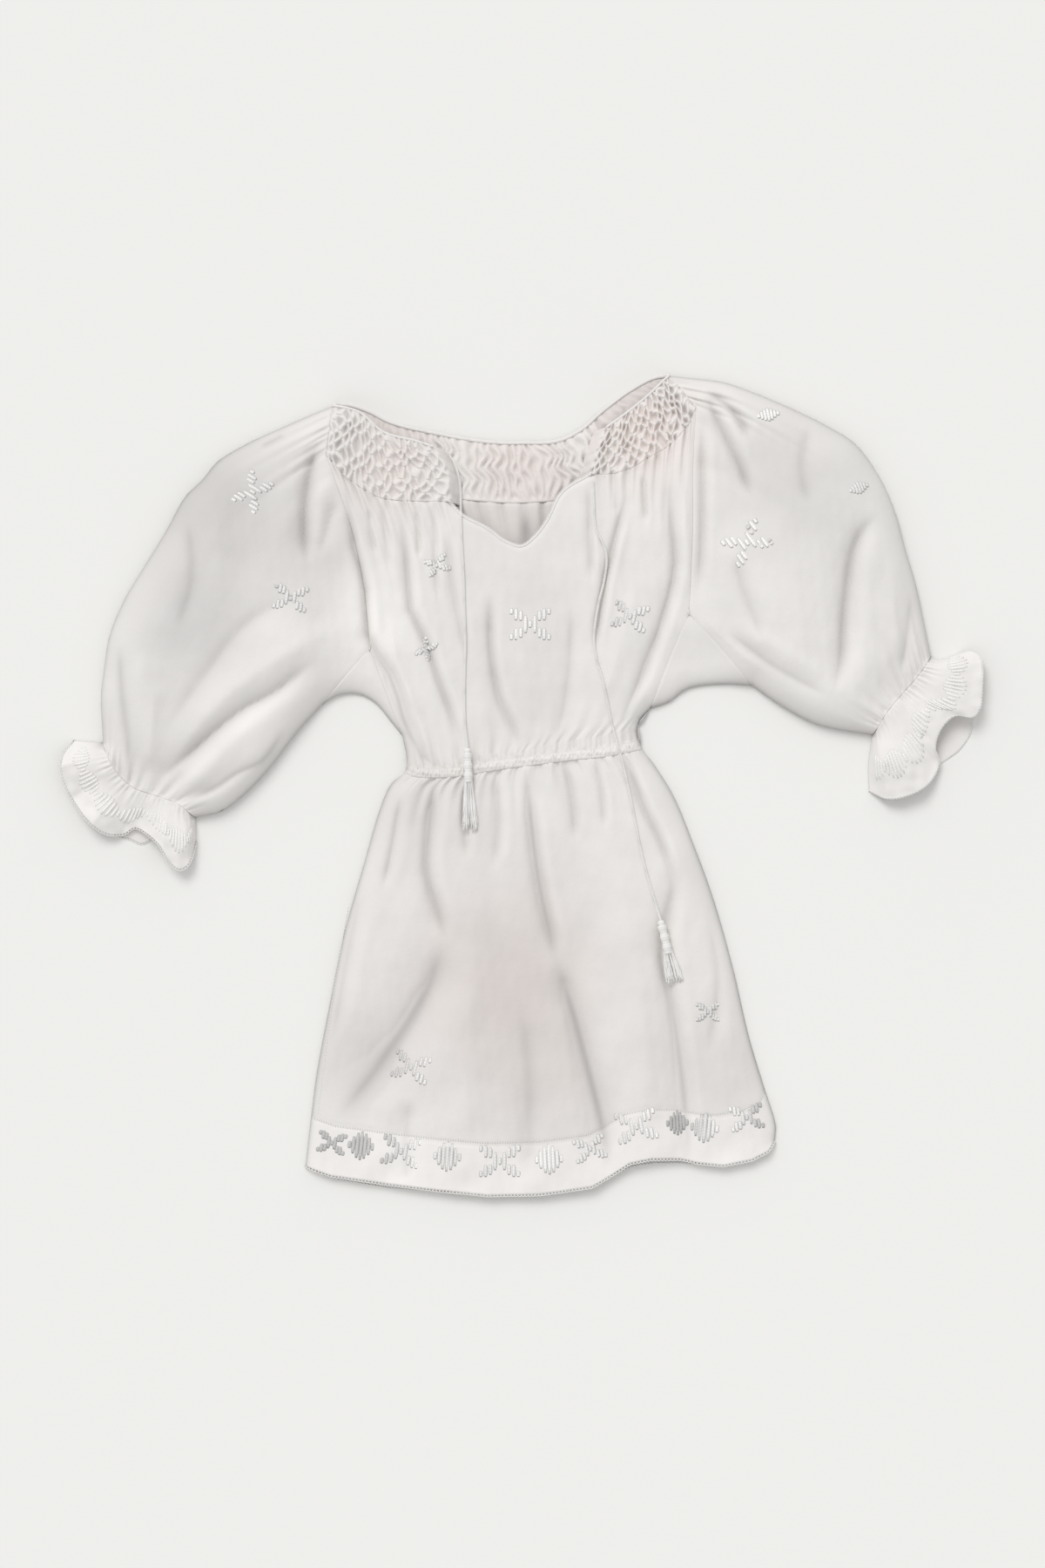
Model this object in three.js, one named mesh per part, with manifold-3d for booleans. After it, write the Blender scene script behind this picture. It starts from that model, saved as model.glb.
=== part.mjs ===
// A white cotton peasant dress laid out flat on its back, seen by its wearer's front.
// Every panel is a thin wall of cloth. The back panels lie on the surface z = 0, and the front
// panels lie on them and stand a little proud, in soft folds, pleats and gathers.
// Millimetres, +Z up. x runs across the dress and y from the hem to the neck.
// The wearer's right side is at -x and the left side at +x.
import * as THREE from "three";
import { mergeVertices } from "three/addons/utils/BufferGeometryUtils.js";
import Module from "manifold-3d";

const wasm = await Module();
wasm.setup();

// Driving sizes
const CLOTH = 1.2; // thickness of one layer
const GAP = 0.3; // between two pieces at a seam, and between two layers
const HEM_RISE = 0.8; // what the turned-up border at the skirt's hem adds to the cloth
const FRONT_Z = CLOTH + GAP; // lowest height of the front layer
const CASING_WIDTH = 8; // of the elastic casing at the waist
const TIE_DIAMETER = 2.6;
const TASSEL_HEAD = 9; // diameter
const TASSEL_STRAND = 2.4; // width of a strand
const STRAND_STEPS = 6;
const SMOCKING_RELIEF = 2.2;
const CASING_RELIEF = 0.9;
const BACK_PLEATS = { from: 12, to: 32, height: 3.4 }; // columns of the back yoke whose pleats stand up

// How many marks each seam is sewn by. Both panels of a seam take the same marks.
const MARKS = { yoke: 16, slit: 12, armhole: 8, gusset: 3, side: 2, shoulder: 6, sleeve: 12, frill: 4 };
MARKS.waist = 2 * MARKS.yoke + MARKS.slit;
MARKS.cuff = MARKS.shoulder + MARKS.armhole + MARKS.gusset;
const BACK_STEP = 2; // the back panels take every second mark of the waist and the yoke
// The skirt's rows, as shares of its side edge: close at the gathers and at the border's upper edge.
const SKIRT_ROWS = [0, 0.03, 0.08, 0.16, 0.27, 0.4, 0.53, 0.66, 0.78, 0.852, 0.858, 1];
const BORDER_ROW = 10;

// Plan of the dress as it lies: edges and seams, each point x, y.
const WAIST = [[-123, 16], [-110, 12], [-73, 12], [-36, 18], [0, 23], [46, 29], [92, 34], [125, 41]];
const SLIT = [[-77, 297], [-64, 283], [-36, 268], [-18, 255], [-1, 250], [12, 259], [26, 277], [42, 307],
  [72, 326]];
const BACK_NECK = [[-200, 399], [-186, 400], [-165, 394], [-138, 381], [-92, 370], [-36, 361], [0, 360],
  [37, 362], [62, 374], [84, 393], [112, 414], [138, 428], [155, 431]];
const BACK_YOKE = [[-206, 345], [-160, 322], [-110, 305], [-60, 300], [0, 297], [60, 305], [110, 335],
  [182, 395]];
const RIGHT = {
  shoulder: [[-200, 399], [-206, 345]],
  armhole: [[-206, 345], [-197, 320], [-182, 276], [-171, 230], [-165, 190], [-161, 142]],
  gussetSleeve: [[-161, 142], [-211, 84]],
  gussetBodice: [[-161, 142], [-127, 51]],
  gussetFold: [[-127, 51], [-139, 66], [-156, 86], [-174, 95], [-196, 93], [-211, 84]],
  side: [[-127, 51], [-123, 32], [-123, 16]],
  skirt: [[-123, 16], [-140, -2], [-151, -28], [-167, -83], [-188, -157], [-203, -230], [-217, -304],
    [-224, -359], [-229, -403]],
  neck: [[-200, 399], [-172, 391], [-146, 370], [-113, 361], [-94, 355]],
  yokeEnd: [[-94, 355], [-80, 331], [-77, 297]],
  yokeFoot: [[-206, 345], [-188, 325], [-170, 311], [-147, 300], [-110, 297], [-77, 297]],
  sleeveTop: [[-200, 399], [-215, 393], [-252, 377], [-293, 358], [-322, 340], [-338, 321], [-356, 303],
    [-377, 266], [-399, 230],
    [-421, 193], [-436, 156], [-442, 119], [-445, 92], [-443, 44]],
  sleeveUnder: [[-211, 84], [-230, 64], [-245, 46], [-274, 9], [-316, -28], [-345, -35]],
  cuff: [[-443, 44], [-427, 13], [-410, -4], [-388, -12], [-363, -21], [-345, -35]],
  frillTop: [[-443, 44], [-473, 46]],
  frillUnder: [[-345, -35], [-345, -60]],
  frillEdge: [[-473, 46], [-484, 29], [-483, 4], [-464, -30], [-441, -51], [-422, -53], [-409, -46],
    [-396, -52],
    [-381, -65], [-370, -83], [-360, -90], [-351, -83], [-345, -60]],
  frillBackEdge: [[-473, 46], [-481, 29], [-480, 4], [-462, -28], [-438, -50], [-414, -58], [-402, -63],
    [-390, -58],
    [-378, -67], [-368, -80], [-360, -86], [-352, -79], [-345, -60]],
};
const LEFT = {
  shoulder: [[155, 431], [182, 395]],
  armhole: [[182, 395], [179, 331], [179, 276], [177, 220], [175, 179]],
  gussetSleeve: [[175, 179], [242, 104]],
  gussetBodice: [[175, 179], [134, 79]],
  gussetFold: [[134, 79], [154, 86], [174, 100], [208, 105], [242, 104]],
  side: [[134, 79], [123, 66], [121, 52], [125, 41]],
  skirt: [[125, 41], [158, -10], [181, -65], [201, -120], [222, -194], [239, -267], [255, -320], [267, -360],
    [266, -376]],
  neck: [[155, 431], [129, 406], [105, 387], [88, 375]],
  yokeEnd: [[88, 375], [79, 349], [72, 326]],
  yokeFoot: [[182, 395], [173, 377], [157, 358], [134, 344], [111, 331], [92, 326], [72, 326]],
  sleeveTop: [[155, 431], [182, 428], [212, 424], [242, 414], [287, 395], [323, 377], [352, 358],
    [378, 322], [394, 285],
    [404, 248], [415, 211], [423, 174], [431, 135]],
  sleeveUnder: [[242, 104], [274, 82], [308, 64], [336, 57], [369, 52]],
  cuff: [[431, 135], [415, 112], [401, 96], [384, 76], [369, 52]],
  frillTop: [[431, 135], [440, 132], [460, 138]],
  frillUnder: [[369, 52], [365, 18], [366, -8]],
  frillEdge: [[460, 138], [474, 140], [483, 133], [484, 101], [481, 78], [474, 70], [455, 71], [441, 58],
    [435, 38],
    [440, 22], [428, 0], [405, -13], [384, -16], [366, -8]],
  frillBackEdge: [[460, 138], [474, 139], [483, 132], [484, 101], [482, 80], [476, 67], [474, 54], [462, 36],
    [452, 28], [441, 20], [427, 0], [405, -11], [384, -13], [366, -8]],
};
// The hem's sag below the straight line between its two corners, on the front and on the back.
const HEM_SAG = [
  { share: 0, front: 0, back: 0 }, { share: 0.055, front: 11, back: 13.5 },
  { share: 0.18, front: 23.5, back: 26.5 }, { share: 0.28, front: 32, back: 33.5 },
  { share: 0.39, front: 40.5, back: 38 }, { share: 0.5, front: 42.5, back: 39.5 },
  { share: 0.61, front: 37.5, back: 34 }, { share: 0.65, front: 27, back: 27 },
  { share: 0.69, front: 15, back: 18.5 }, { share: 0.735, front: 11.5, back: 15.5 },
  { share: 0.8, front: 13.5, back: 17 }, { share: 0.84, front: 19, back: 20 },
  { share: 0.89, front: 22.5, back: 20 }, { share: 0.95, front: 18.5, back: 16 },
  { share: 0.985, front: 10.5, back: 8 }, { share: 1, front: 0, back: 0 },
];

// How high the front stands over the surface, at places of the plan; it blends between them.
const LOFT = [
  { x: 0, y: -420, height: 12, reach: 90 }, { x: -190, y: -380, height: 9, reach: 80 },
  { x: 210, y: -360, height: 10, reach: 80 }, { x: 0, y: -250, height: 17, reach: 130 },
  { x: 0, y: -90, height: 17, reach: 100 }, { x: 0, y: 26, height: 11, reach: 60 },
  { x: 0, y: 150, height: 18, reach: 100 }, { x: 0, y: 270, height: 19, reach: 80 },
  { x: -140, y: 340, height: 17, reach: 50 }, { x: 120, y: 370, height: 17, reach: 50 },
  { x: -165, y: 90, height: 10, reach: 45 }, { x: 185, y: 115, height: 10, reach: 45 },
  { x: -230, y: 330, height: 23, reach: 60 }, { x: 230, y: 370, height: 23, reach: 60 },
  { x: -172, y: 250, height: 17, reach: 55 }, { x: 179, y: 290, height: 17, reach: 55 },
  { x: -168, y: 165, height: 15, reach: 42 }, { x: 177, y: 208, height: 15, reach: 42 },
  { x: -310, y: 190, height: 40, reach: 110 }, { x: 290, y: 240, height: 40, reach: 110 },
  { x: -375, y: 70, height: 30, reach: 60 }, { x: 375, y: 150, height: 30, reach: 60 },
  { x: -395, y: -5, height: 12, reach: 28 }, { x: 400, y: 95, height: 12, reach: 28 },
];
const EDGE_ROUNDING = { least: 7, perHeight: 1.15 }; // how far in from a folded edge the cloth rounds over
const TROUGH_Z = 9.2; // the front's upper face sinks no lower than this, away from the folded edges

// The largest folds: a ridge where the height is positive and a trough where it is negative.
const FOLDS = [
  { name: "right bodice fold", from: [-165, 215], via: [-158, 140], to: [-95, 22], width: 9, height: -6 },
  { name: "right bodice roll", from: [-176, 262], via: [-170, 190], to: [-165, 140], width: 9, height: 5 },
  { name: "right breast fold", from: [-128, 290], via: [-120, 190], to: [-66, 50], width: 8, height: -5 },
  { name: "right of middle", from: [-32, 205], via: [-34, 110], to: [-2, 34], width: 8, height: -5 },
  { name: "left of middle", from: [50, 190], via: [52, 110], to: [36, 44], width: 9, height: -3.5 },
  { name: "left breast fold", from: [110, 296], via: [90, 220], to: [78, 156], width: 8, height: -5 },
  { name: "left bodice fold", from: [156, 300], via: [166, 210], to: [104, 66], width: 9, height: -5.5 },
  { name: "left armhole roll", from: [166, 320], via: [168, 250], to: [170, 190], width: 8, height: 3.5 },
  { name: "right skirt valley", from: [-92, 4], via: [-88, -95], to: [-80, -165], width: 20, height: -7 },
  { name: "right skirt valley foot", from: [-80, -160], via: [-112, -245], to: [-200, -350],
    width: 26, height: -7 },
  { name: "middle skirt valley", from: [5, 16], via: [14, -80], to: [30, -190], width: 15, height: -9 },
  { name: "middle skirt valley foot", from: [30, -180], via: [62, -290], to: [96, -408],
    width: 19, height: -7 },
  { name: "right skirt ridge", from: [-64, -60], via: [-52, -190], to: [-60, -420], width: 26, height: 5 },
  { name: "left skirt ridge", from: [96, -40], via: [118, -190], to: [130, -390], width: 22, height: 6 },
  { name: "left skirt valley", from: [108, 22], via: [150, -210], to: [174, -398], width: 10, height: -4.5 },
  { name: "left hem ridge", from: [205, -230], via: [212, -300], to: [222, -392], width: 20, height: 4 },
  { name: "right sleeve head", from: [-208, 372], via: [-232, 300], to: [-222, 220], width: 11, height: -7 },
  { name: "right sleeve cross fold", from: [-262, 235], via: [-235, 225], to: [-200, 232],
    width: 11, height: -4 },
  { name: "right sleeve ridge", from: [-180, 170], via: [-290, 120], to: [-372, 12], width: 17, height: 6 },
  { name: "right sleeve trough", from: [-215, 130], via: [-300, 60], to: [-382, 0], width: 13, height: -6 },
  { name: "right sleeve underfold", from: [-240, 85], via: [-290, 15], to: [-350, -22],
    width: 10, height: -5 },
  { name: "left sleeve head", from: [196, 412], via: [222, 380], to: [236, 345], width: 10, height: -7 },
  { name: "left armhole valley", from: [186, 380], via: [188, 300], to: [184, 200], width: 7, height: -5 },
  { name: "left sleeve outer trough", from: [370, 300], via: [334, 200], to: [330, 110],
    width: 13, height: -6 },
  { name: "left sleeve outer ridge", from: [396, 250], via: [392, 190], to: [398, 130],
    width: 14, height: 5 },
  { name: "left sleeve inner ridge", from: [186, 178], via: [225, 140], to: [262, 112], width: 9, height: 3 },
];

// Gathers: fine pleats that fade away from the seam which draws them up.
const GATHERS = {
  waistBodice: { height: 1.8, fade: 55 },
  waistSkirt: { height: 2, fade: 70 },
  yoke: { height: 2, fade: 95 },
  cuff: { height: 2.6, fade: 60 },
};

// Heights of the frill's flutes along its edge.
const RIGHT_FLUTES = [
  { share: 0, height: 4 }, { share: 0.12, height: 19 }, { share: 0.26, height: 10 },
    { share: 0.4, height: 21 },
  { share: 0.53, height: 6 }, { share: 0.6, height: 6 }, { share: 0.75, height: 22 },
    { share: 0.9, height: 15 },
  { share: 1, height: 4 },
];
const LEFT_FLUTES = [
  { share: 0, height: 4 }, { share: 0.12, height: 17 }, { share: 0.3, height: 22 },
    { share: 0.45, height: 19 },
  { share: 0.55, height: 17 }, { share: 0.66, height: 8 }, { share: 0.8, height: 20 },
    { share: 0.92, height: 16 },
  { share: 1, height: 4 },
];

// The ties, from where they leave the neck, as x, y; and how each tassel lies.
const RIGHT_TIE = [[-79, 350], [-71, 336], [-66, 317], [-65, 291], [-64, 257], [-62, 220], [-61, 184],
  [-60, 147],
  [-61, 110], [-61, 80], [-60, 58], [-58, 38]];
const LEFT_TIE = [[74, 318], [75, 296], [77, 269], [88, 241], [86, 215], [80, 190], [75, 153], [78, 130],
  [84, 110],
  [94, 63], [104, 27], [110, 2], [115, -22], [127, -81], [139, -123], [145, -143]];
const RIGHT_TASSEL = { from: [-58, 38], to: [-55, -52], spread: 8 };
const LEFT_TASSEL = { from: [145, -143], to: [161, -210], spread: 9 };
// How far each strand of a tassel lies from its middle line, which layer it is in, and its length.
const STRANDS = [
  { aside: -1, layer: 0, share: 0.93 }, { aside: -0.6, layer: 0, share: 0.98 },
    { aside: -0.2, layer: 0, share: 0.95 },
  { aside: 0.2, layer: 0, share: 1 }, { aside: 0.6, layer: 0, share: 0.94 },
    { aside: 1, layer: 0, share: 0.91 },
  { aside: -0.4, layer: 1, share: 0.96 }, { aside: 0, layer: 1, share: 0.92 },
    { aside: 0.4, layer: 1, share: 0.97 },
];

const COLOURS = { cotton: 0xe9e6e2, lining: 0xdedad6, smocking: 0xece7e2, cord: 0xf0ece6 };

const vector = ([x, y]) => new THREE.Vector3(x, y, 0);
const clamp = (value, low, high) => Math.min(high, Math.max(low, value));
const smooth = (t) => t * t * (3 - 2 * t);

const smoothCurve = (points) => new THREE.CatmullRomCurve3(points.map(vector), false, "centripetal");

// n + 1 marks evenly along a smooth curve, or along straight stretches.
function marks(points, n, straight = false) {
  if (!straight) return smoothCurve(points).getSpacedPoints(n);
  const path = new THREE.CurvePath();
  points.slice(1).forEach((p, i) => path.add(new THREE.LineCurve3(vector(points[i]), vector(p))));
  return path.getSpacedPoints(n);
}

// Several runs of marks joined end to end.
const joined = (...runs) => runs.flatMap((run, i) => (i ? run.slice(1) : run));

// A value read off a table of shares, with straight lines between its rows.
function readOff(table, share, column) {
  const k = clamp(table.findIndex((row) => row.share > share), 1, table.length - 1);
  const next = share >= 1 ? table.length - 1 : k;
  const a = table[next - 1];
  const b = table[next];
  return THREE.MathUtils.lerp(a[column], b[column], clamp((share - a.share) / (b.share - a.share), 0, 1));
}

// Distance from a plan point to a line of marks, and how far along it, from 0 to 1.
function nearest(x, y, line) {
  let best = { far: Infinity, along: 0 };
  for (let i = 1; i < line.length; i++) {
    const [a, b] = [line[i - 1], line[i]];
    const [dx, dy] = [b.x - a.x, b.y - a.y];
    const t = clamp(((x - a.x) * dx + (y - a.y) * dy) / (dx * dx + dy * dy), 0, 1);
    const far = Math.hypot(x - a.x - t * dx, y - a.y - t * dy);
    if (far < best.far) best = { far, along: (i - 1 + t) / (line.length - 1) };
  }
  return best;
}

// The folded edges, where the front turns down to meet the back.
const EDGE_MARKS = 40;
const foldedEdges = [RIGHT, LEFT].flatMap((side) => [
  joined(marks(side.skirt, EDGE_MARKS).reverse(), marks(side.side, 6).reverse(), marks(side.gussetFold, 12),
    marks(side.sleeveUnder, 16)),
  marks(side.sleeveTop, EDGE_MARKS),
]);
const foldLines = FOLDS.map((fold) => ({
  ...fold,
  line: new THREE.QuadraticBezierCurve3(...[fold.from, fold.via, fold.to].map(vector)).getSpacedPoints(12),
}));

// Height of the front's upper surface over the plan.
function clothHeight(x, y) {
  let weight = 0;
  let loft = 0;
  for (const place of LOFT) {
    const w = Math.exp(-((x - place.x) ** 2 + (y - place.y) ** 2) / place.reach ** 2) + 1e-9;
    weight += w;
    loft += w * place.height;
  }
  loft /= weight;
  const far = Math.min(...foldedEdges.map((edge) => nearest(x, y, edge).far));
  const rounding = EDGE_ROUNDING.least + EDGE_ROUNDING.perHeight * loft;
  const q = clamp(far / rounding, 0, 1);
  let height = FRONT_Z + (loft - FRONT_Z) * Math.sqrt(1 - (1 - q) ** 2);
  for (const fold of foldLines) {
    const { far: away, along } = nearest(x, y, fold.line);
    const taper = smooth(clamp(4 * along, 0, 1)) * smooth(clamp(4 * (1 - along) + 0.25, 0, 1));
    height += fold.height * taper * Math.exp(-((away / fold.width) ** 2)) * smooth(q);
  }
  return Math.max(height, FRONT_Z + (Math.min(loft, TROUGH_Z) - FRONT_Z) * Math.sqrt(1 - (1 - q) ** 2));
}

// A panel cut by four edges of marks, filled in between them by a Coons patch. Rows run from top to bottom.
function panel(top, bottom, left, right) {
  const rows = left.length - 1;
  const columns = top.length - 1;
  return left.map((_, i) => top.map((__, j) => {
    const u = i / rows;
    const s = j / columns;
    const across = new THREE.Vector3().lerpVectors(top[j], bottom[j], u);
    const down = new THREE.Vector3().lerpVectors(left[i], right[i], s);
    const corner = new THREE.Vector3().lerpVectors(
      new THREE.Vector3().lerpVectors(top[0], top[columns], s),
      new THREE.Vector3().lerpVectors(bottom[0], bottom[columns], s), u);
    return across.add(down).sub(corner);
  }));
}

// A line of marks moved sideways in plan: positive moves it to the left of its direction.
function aside(line, by) {
  return line.map((p, i) => {
    const [a, b] = [line[Math.max(i - 1, 0)], line[Math.min(i + 1, line.length - 1)]];
    const along = new THREE.Vector3().subVectors(b, a).normalize();
    return new THREE.Vector3(p.x - along.y * by, p.y + along.x * by, 0);
  });
}

// A closed wall between two grids of points, one on each face of the cloth. A round wall is a tube.
function wall(faceA, faceB, round = false) {
  const rows = faceA.length;
  const columns = faceA[0].length;
  const at = (face, i, j) => (face * rows + i) * columns + (j % columns);
  const index = [];
  const quad = (a, b, c, d) => index.push(a, b, c, a, c, d);
  const last = round ? columns : columns - 1;
  for (let i = 0; i < rows - 1; i++)
    for (let j = 0; j < last; j++) {
      quad(at(0, i, j), at(0, i + 1, j), at(0, i + 1, j + 1), at(0, i, j + 1));
      quad(at(1, i, j), at(1, i, j + 1), at(1, i + 1, j + 1), at(1, i + 1, j));
    }
  for (let j = 0; j < last; j++) {
    quad(at(0, 0, j), at(0, 0, j + 1), at(1, 0, j + 1), at(1, 0, j));
    quad(at(0, rows - 1, j), at(1, rows - 1, j), at(1, rows - 1, j + 1), at(0, rows - 1, j + 1));
  }
  if (!round)
    for (let i = 0; i < rows - 1; i++) {
      quad(at(0, i, 0), at(1, i, 0), at(1, i + 1, 0), at(0, i + 1, 0));
      quad(at(0, i, last), at(0, i + 1, last), at(1, i + 1, last), at(1, i, last));
    }
  const positions = new Float32Array([faceA, faceB].flat(2).flatMap((p) => [p.x, p.y, p.z]));
  const geometry = new THREE.BufferGeometry();
  geometry.setAttribute("position", new THREE.BufferAttribute(positions, 3));
  geometry.setIndex(index);
  return facingOut(geometry);
}

// Turns every face round if the body would be inside out.
function facingOut(geometry) {
  const p = geometry.attributes.position;
  const index = geometry.index.array;
  const [a, b, c] = [new THREE.Vector3(), new THREE.Vector3(), new THREE.Vector3()];
  let volume = 0;
  for (let i = 0; i < index.length; i += 3) {
    a.fromBufferAttribute(p, index[i]);
    b.fromBufferAttribute(p, index[i + 1]);
    c.fromBufferAttribute(p, index[i + 2]);
    volume += a.dot(b.cross(c));
  }
  if (volume < 0)
    for (let i = 0; i < index.length; i += 3) {
      [index[i + 1], index[i + 2]] = [index[i + 2], index[i + 1]];
    }
  return geometry;
}

const material = (name, color, roughness) =>
  new THREE.MeshStandardMaterial({ name, color, roughness, metalness: 0 });
const materials = {
  cotton: material("cotton", COLOURS.cotton, 0.85),
  lining: material("lining", COLOURS.lining, 0.85),
  smocking: material("smocking", COLOURS.smocking, 0.85),
  cord: material("cord", COLOURS.cord, 0.6),
};

const dress = new THREE.Group();
dress.name = "peasant_dress";
function add(name, geometry, cloth) {
  const mesh = new THREE.Mesh(geometry, materials[cloth]);
  mesh.name = name;
  dress.add(mesh);
}

// A fine pleat: up on one mark and down on the next.
const pleat = (j) => (j % 2 ? 1 : -1);

// A front panel: its upper face at the cloth's height plus its gathers, and its lower face a layer below.
// Its rims stand upright, so that two panels stay apart at their seam.
function frontPanel(grid, extra, thickness = () => CLOTH) {
  const upper = grid.map((row, i) => row.map((p, j) => {
    const height = clothHeight(p.x, p.y);
    return new THREE.Vector3(p.x, p.y, Math.max(height + extra(i, j, p), Math.min(height, FRONT_Z + CLOTH)));
  }));
  const lower = upper.map((row, i) => row.map((p, j) => {
    const rim = i === 0 || j === 0 || i === upper.length - 1 || j === row.length - 1;
    const step = rim ? new THREE.Vector3(0, 0, 1) : facing(upper, i, j);
    const q = p.clone().addScaledVector(step, -thickness(i, j));
    if (rim && p.z < FRONT_Z + CLOTH) return inwards(upper, i, j, p);
    return q.setZ(Math.max(q.z, FRONT_Z));
  }));
  return wall(upper, lower);
}

// The upward direction square to a grid of points.
function facing(grid, i, j) {
  const down = new THREE.Vector3().subVectors(grid[i + 1][j], grid[i - 1][j]);
  const across = new THREE.Vector3().subVectors(grid[i][j + 1], grid[i][j - 1]);
  const up = down.cross(across).normalize();
  return up.z < 0 ? up.negate() : up;
}

// At a folded edge the lower face starts a layer further in, on the back panel's side.
function inwards(grid, i, j, p) {
  const inner = grid[clamp(i, 1, grid.length - 2)][clamp(j, 1, grid[0].length - 2)];
  const step = new THREE.Vector3(inner.x - p.x, inner.y - p.y, 0).normalize();
  return new THREE.Vector3(p.x, p.y, FRONT_Z).addScaledVector(step, CLOTH);
}

// Yokes, bodice and skirt
const waistMarks = marks(WAIST, MARKS.waist);
const towardsNeck = aside(waistMarks, CASING_WIDTH / 2);
const towardsHem = aside(waistMarks, -CASING_WIDTH / 2);
const sides = [
  { name: "right", corner: 0, plan: RIGHT, flutes: RIGHT_FLUTES, tie: RIGHT_TIE, tassel: RIGHT_TASSEL },
  { name: "left", corner: -1, plan: LEFT, flutes: LEFT_FLUTES, tie: LEFT_TIE, tassel: LEFT_TASSEL },
];
for (const side of sides) {
  const { plan } = side;
  side.shoulder = marks(plan.shoulder, MARKS.shoulder, true);
  side.armhole = marks(plan.armhole, MARKS.armhole);
  side.gussetSleeve = marks(plan.gussetSleeve, MARKS.gusset, true);
  side.gussetBodice = marks(plan.gussetBodice, MARKS.gusset, true);
  side.gussetFold = marks(plan.gussetFold, 2 * MARKS.gusset);
  side.side = [...marks(plan.side, MARKS.side).slice(0, -1), towardsNeck.at(side.corner)];
  side.yokeFoot = marks(plan.yokeFoot, MARKS.yoke);
  side.cuff = marks(plan.cuff, MARKS.cuff);
}
const [right, left] = sides;
const neckline = joined(right.yokeFoot, marks(SLIT, MARKS.slit), [...left.yokeFoot].reverse());
const bodiceEdge = (side) => joined(side.armhole, side.gussetBodice, side.side);

// A line of marks moved square to itself by half a gap, to the side where the inner line is.
function easing(edge, inner) {
  return aside(edge, 1).map((moved, k) => {
    const step = new THREE.Vector3().subVectors(moved, edge[k]).normalize();
    const towards = new THREE.Vector3().subVectors(inner[k], edge[k]);
    return step.multiplyScalar((GAP / 2) * (step.dot(towards) < 0 ? -1 : 1));
  });
}

// A panel with its own four edges pulled half a gap in from its seams.
function easedPanel(top, bottom, leftEdge, rightEdge) {
  const grid = panel(top, bottom, leftEdge, rightEdge);
  const rows = grid.length - 1;
  const columns = grid[0].length - 1;
  const column = (j) => grid.map((row) => row[j]);
  const [fromTop, fromBottom] = [easing(grid[0], grid[1]), easing(grid[rows], grid[rows - 1])];
  const [fromLeft, fromRight] = [easing(column(0), column(1)), easing(column(columns), column(columns - 1))];
  return grid.map((row, i) => row.map((p, j) => {
    const eased = p.clone();
    if (i === 0) eased.add(fromTop[j]);
    if (i === rows) eased.add(fromBottom[j]);
    if (j === 0) eased.add(fromLeft[i]);
    if (j === columns) eased.add(fromRight[i]);
    return eased;
  }));
}

const bodicePlan = easedPanel(neckline, towardsNeck, bodiceEdge(right), bodiceEdge(left));
add("bodice_front", frontPanel(bodicePlan, (i, j, p) => {
  const drop = nearest(p.x, p.y, waistMarks).far;
  const underYoke = j < MARKS.yoke || j > MARKS.waist - MARKS.yoke ? 1 : 0;
  const below = bodicePlan[0][j].distanceTo(p);
  return pleat(j) * (GATHERS.waistBodice.height * Math.exp(-drop / GATHERS.waistBodice.fade)
    + underYoke * GATHERS.yoke.height * Math.exp(-below / GATHERS.yoke.fade));
}), "cotton");

// The skirt's hem hangs below the line between its corners by the sag.
const hemCorners = [vector(RIGHT.skirt.at(-1)), vector(LEFT.skirt.at(-1))];
const hem = (n, layer) => Array.from({ length: n + 1 }, (_, j) => {
  const p = new THREE.Vector3().lerpVectors(...hemCorners, j / n);
  return p.setY(p.y - readOff(HEM_SAG, j / n, layer));
});
const skirtSide = ({ plan, corner }, shares = SKIRT_ROWS) => {
  const line = smoothCurve(plan.skirt);
  return shares.map((share) => (share ? line.getPointAt(share) : towardsHem.at(corner)));
};
const skirtPlan = easedPanel(towardsHem, hem(MARKS.waist, "front"), skirtSide(right), skirtSide(left));
const borderRise = (i) => (i >= BORDER_ROW ? HEM_RISE : 0);
add("skirt_front", frontPanel(skirtPlan, (i, j, p) => {
  const drop = nearest(p.x, p.y, waistMarks).far;
  return borderRise(i) + pleat(j) * GATHERS.waistSkirt.height * Math.exp(-drop / GATHERS.waistSkirt.fade);
}, (i) => CLOTH + borderRise(i)), "cotton");

// A smocked yoke: the cloth is drawn into a lattice, raised where the pleats are caught.
const between = (p, q, share) => new THREE.Vector3().lerpVectors(p, q, share);
const doubled = (line) => line.flatMap((p, j) => (j ? [between(line[j - 1], p, 0.5), p] : [p]));
for (const side of sides) {
  const neck = marks(side.plan.neck, 2 * MARKS.yoke);
  const end = marks(side.plan.yokeEnd, MARKS.shoulder);
  const plan = easedPanel(neck, doubled(side.yokeFoot), side.shoulder, end);
  add(`yoke_front_${side.name}`, frontPanel(plan, (i, j) => ((i + j) % 2 ? SMOCKING_RELIEF : 0)), "smocking");
}

// The back panels lie flat on the surface, cut along their eased edges.
function backPanel(grid) {
  const [first, last] = [grid[0], grid.at(-1)];
  const edge = [...first, ...grid.slice(1).map((row) => row.at(-1)), ...[...last].reverse().slice(1),
    ...grid.slice(1, -1).reverse().map((row) => row[0])];
  const shape = new THREE.Shape(edge.map((p) => new THREE.Vector2(p.x, p.y)));
  const geometry = new THREE.ExtrudeGeometry(shape, { depth: CLOTH, bevelEnabled: false });
  ["normal", "uv"].forEach((name) => geometry.deleteAttribute(name));
  return mergeVertices(geometry, 1e-4);
}
const everySecond = (line) => line.filter((_, j) => j % BACK_STEP === 0);
const backFoot = marks(BACK_YOKE, MARKS.waist / BACK_STEP);
const backPlan = easedPanel(backFoot, everySecond(towardsNeck), bodiceEdge(right), bodiceEdge(left));
add("bodice_back", backPanel(backPlan), "lining");
const backHem = hem(MARKS.waist / BACK_STEP, "back");
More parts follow.
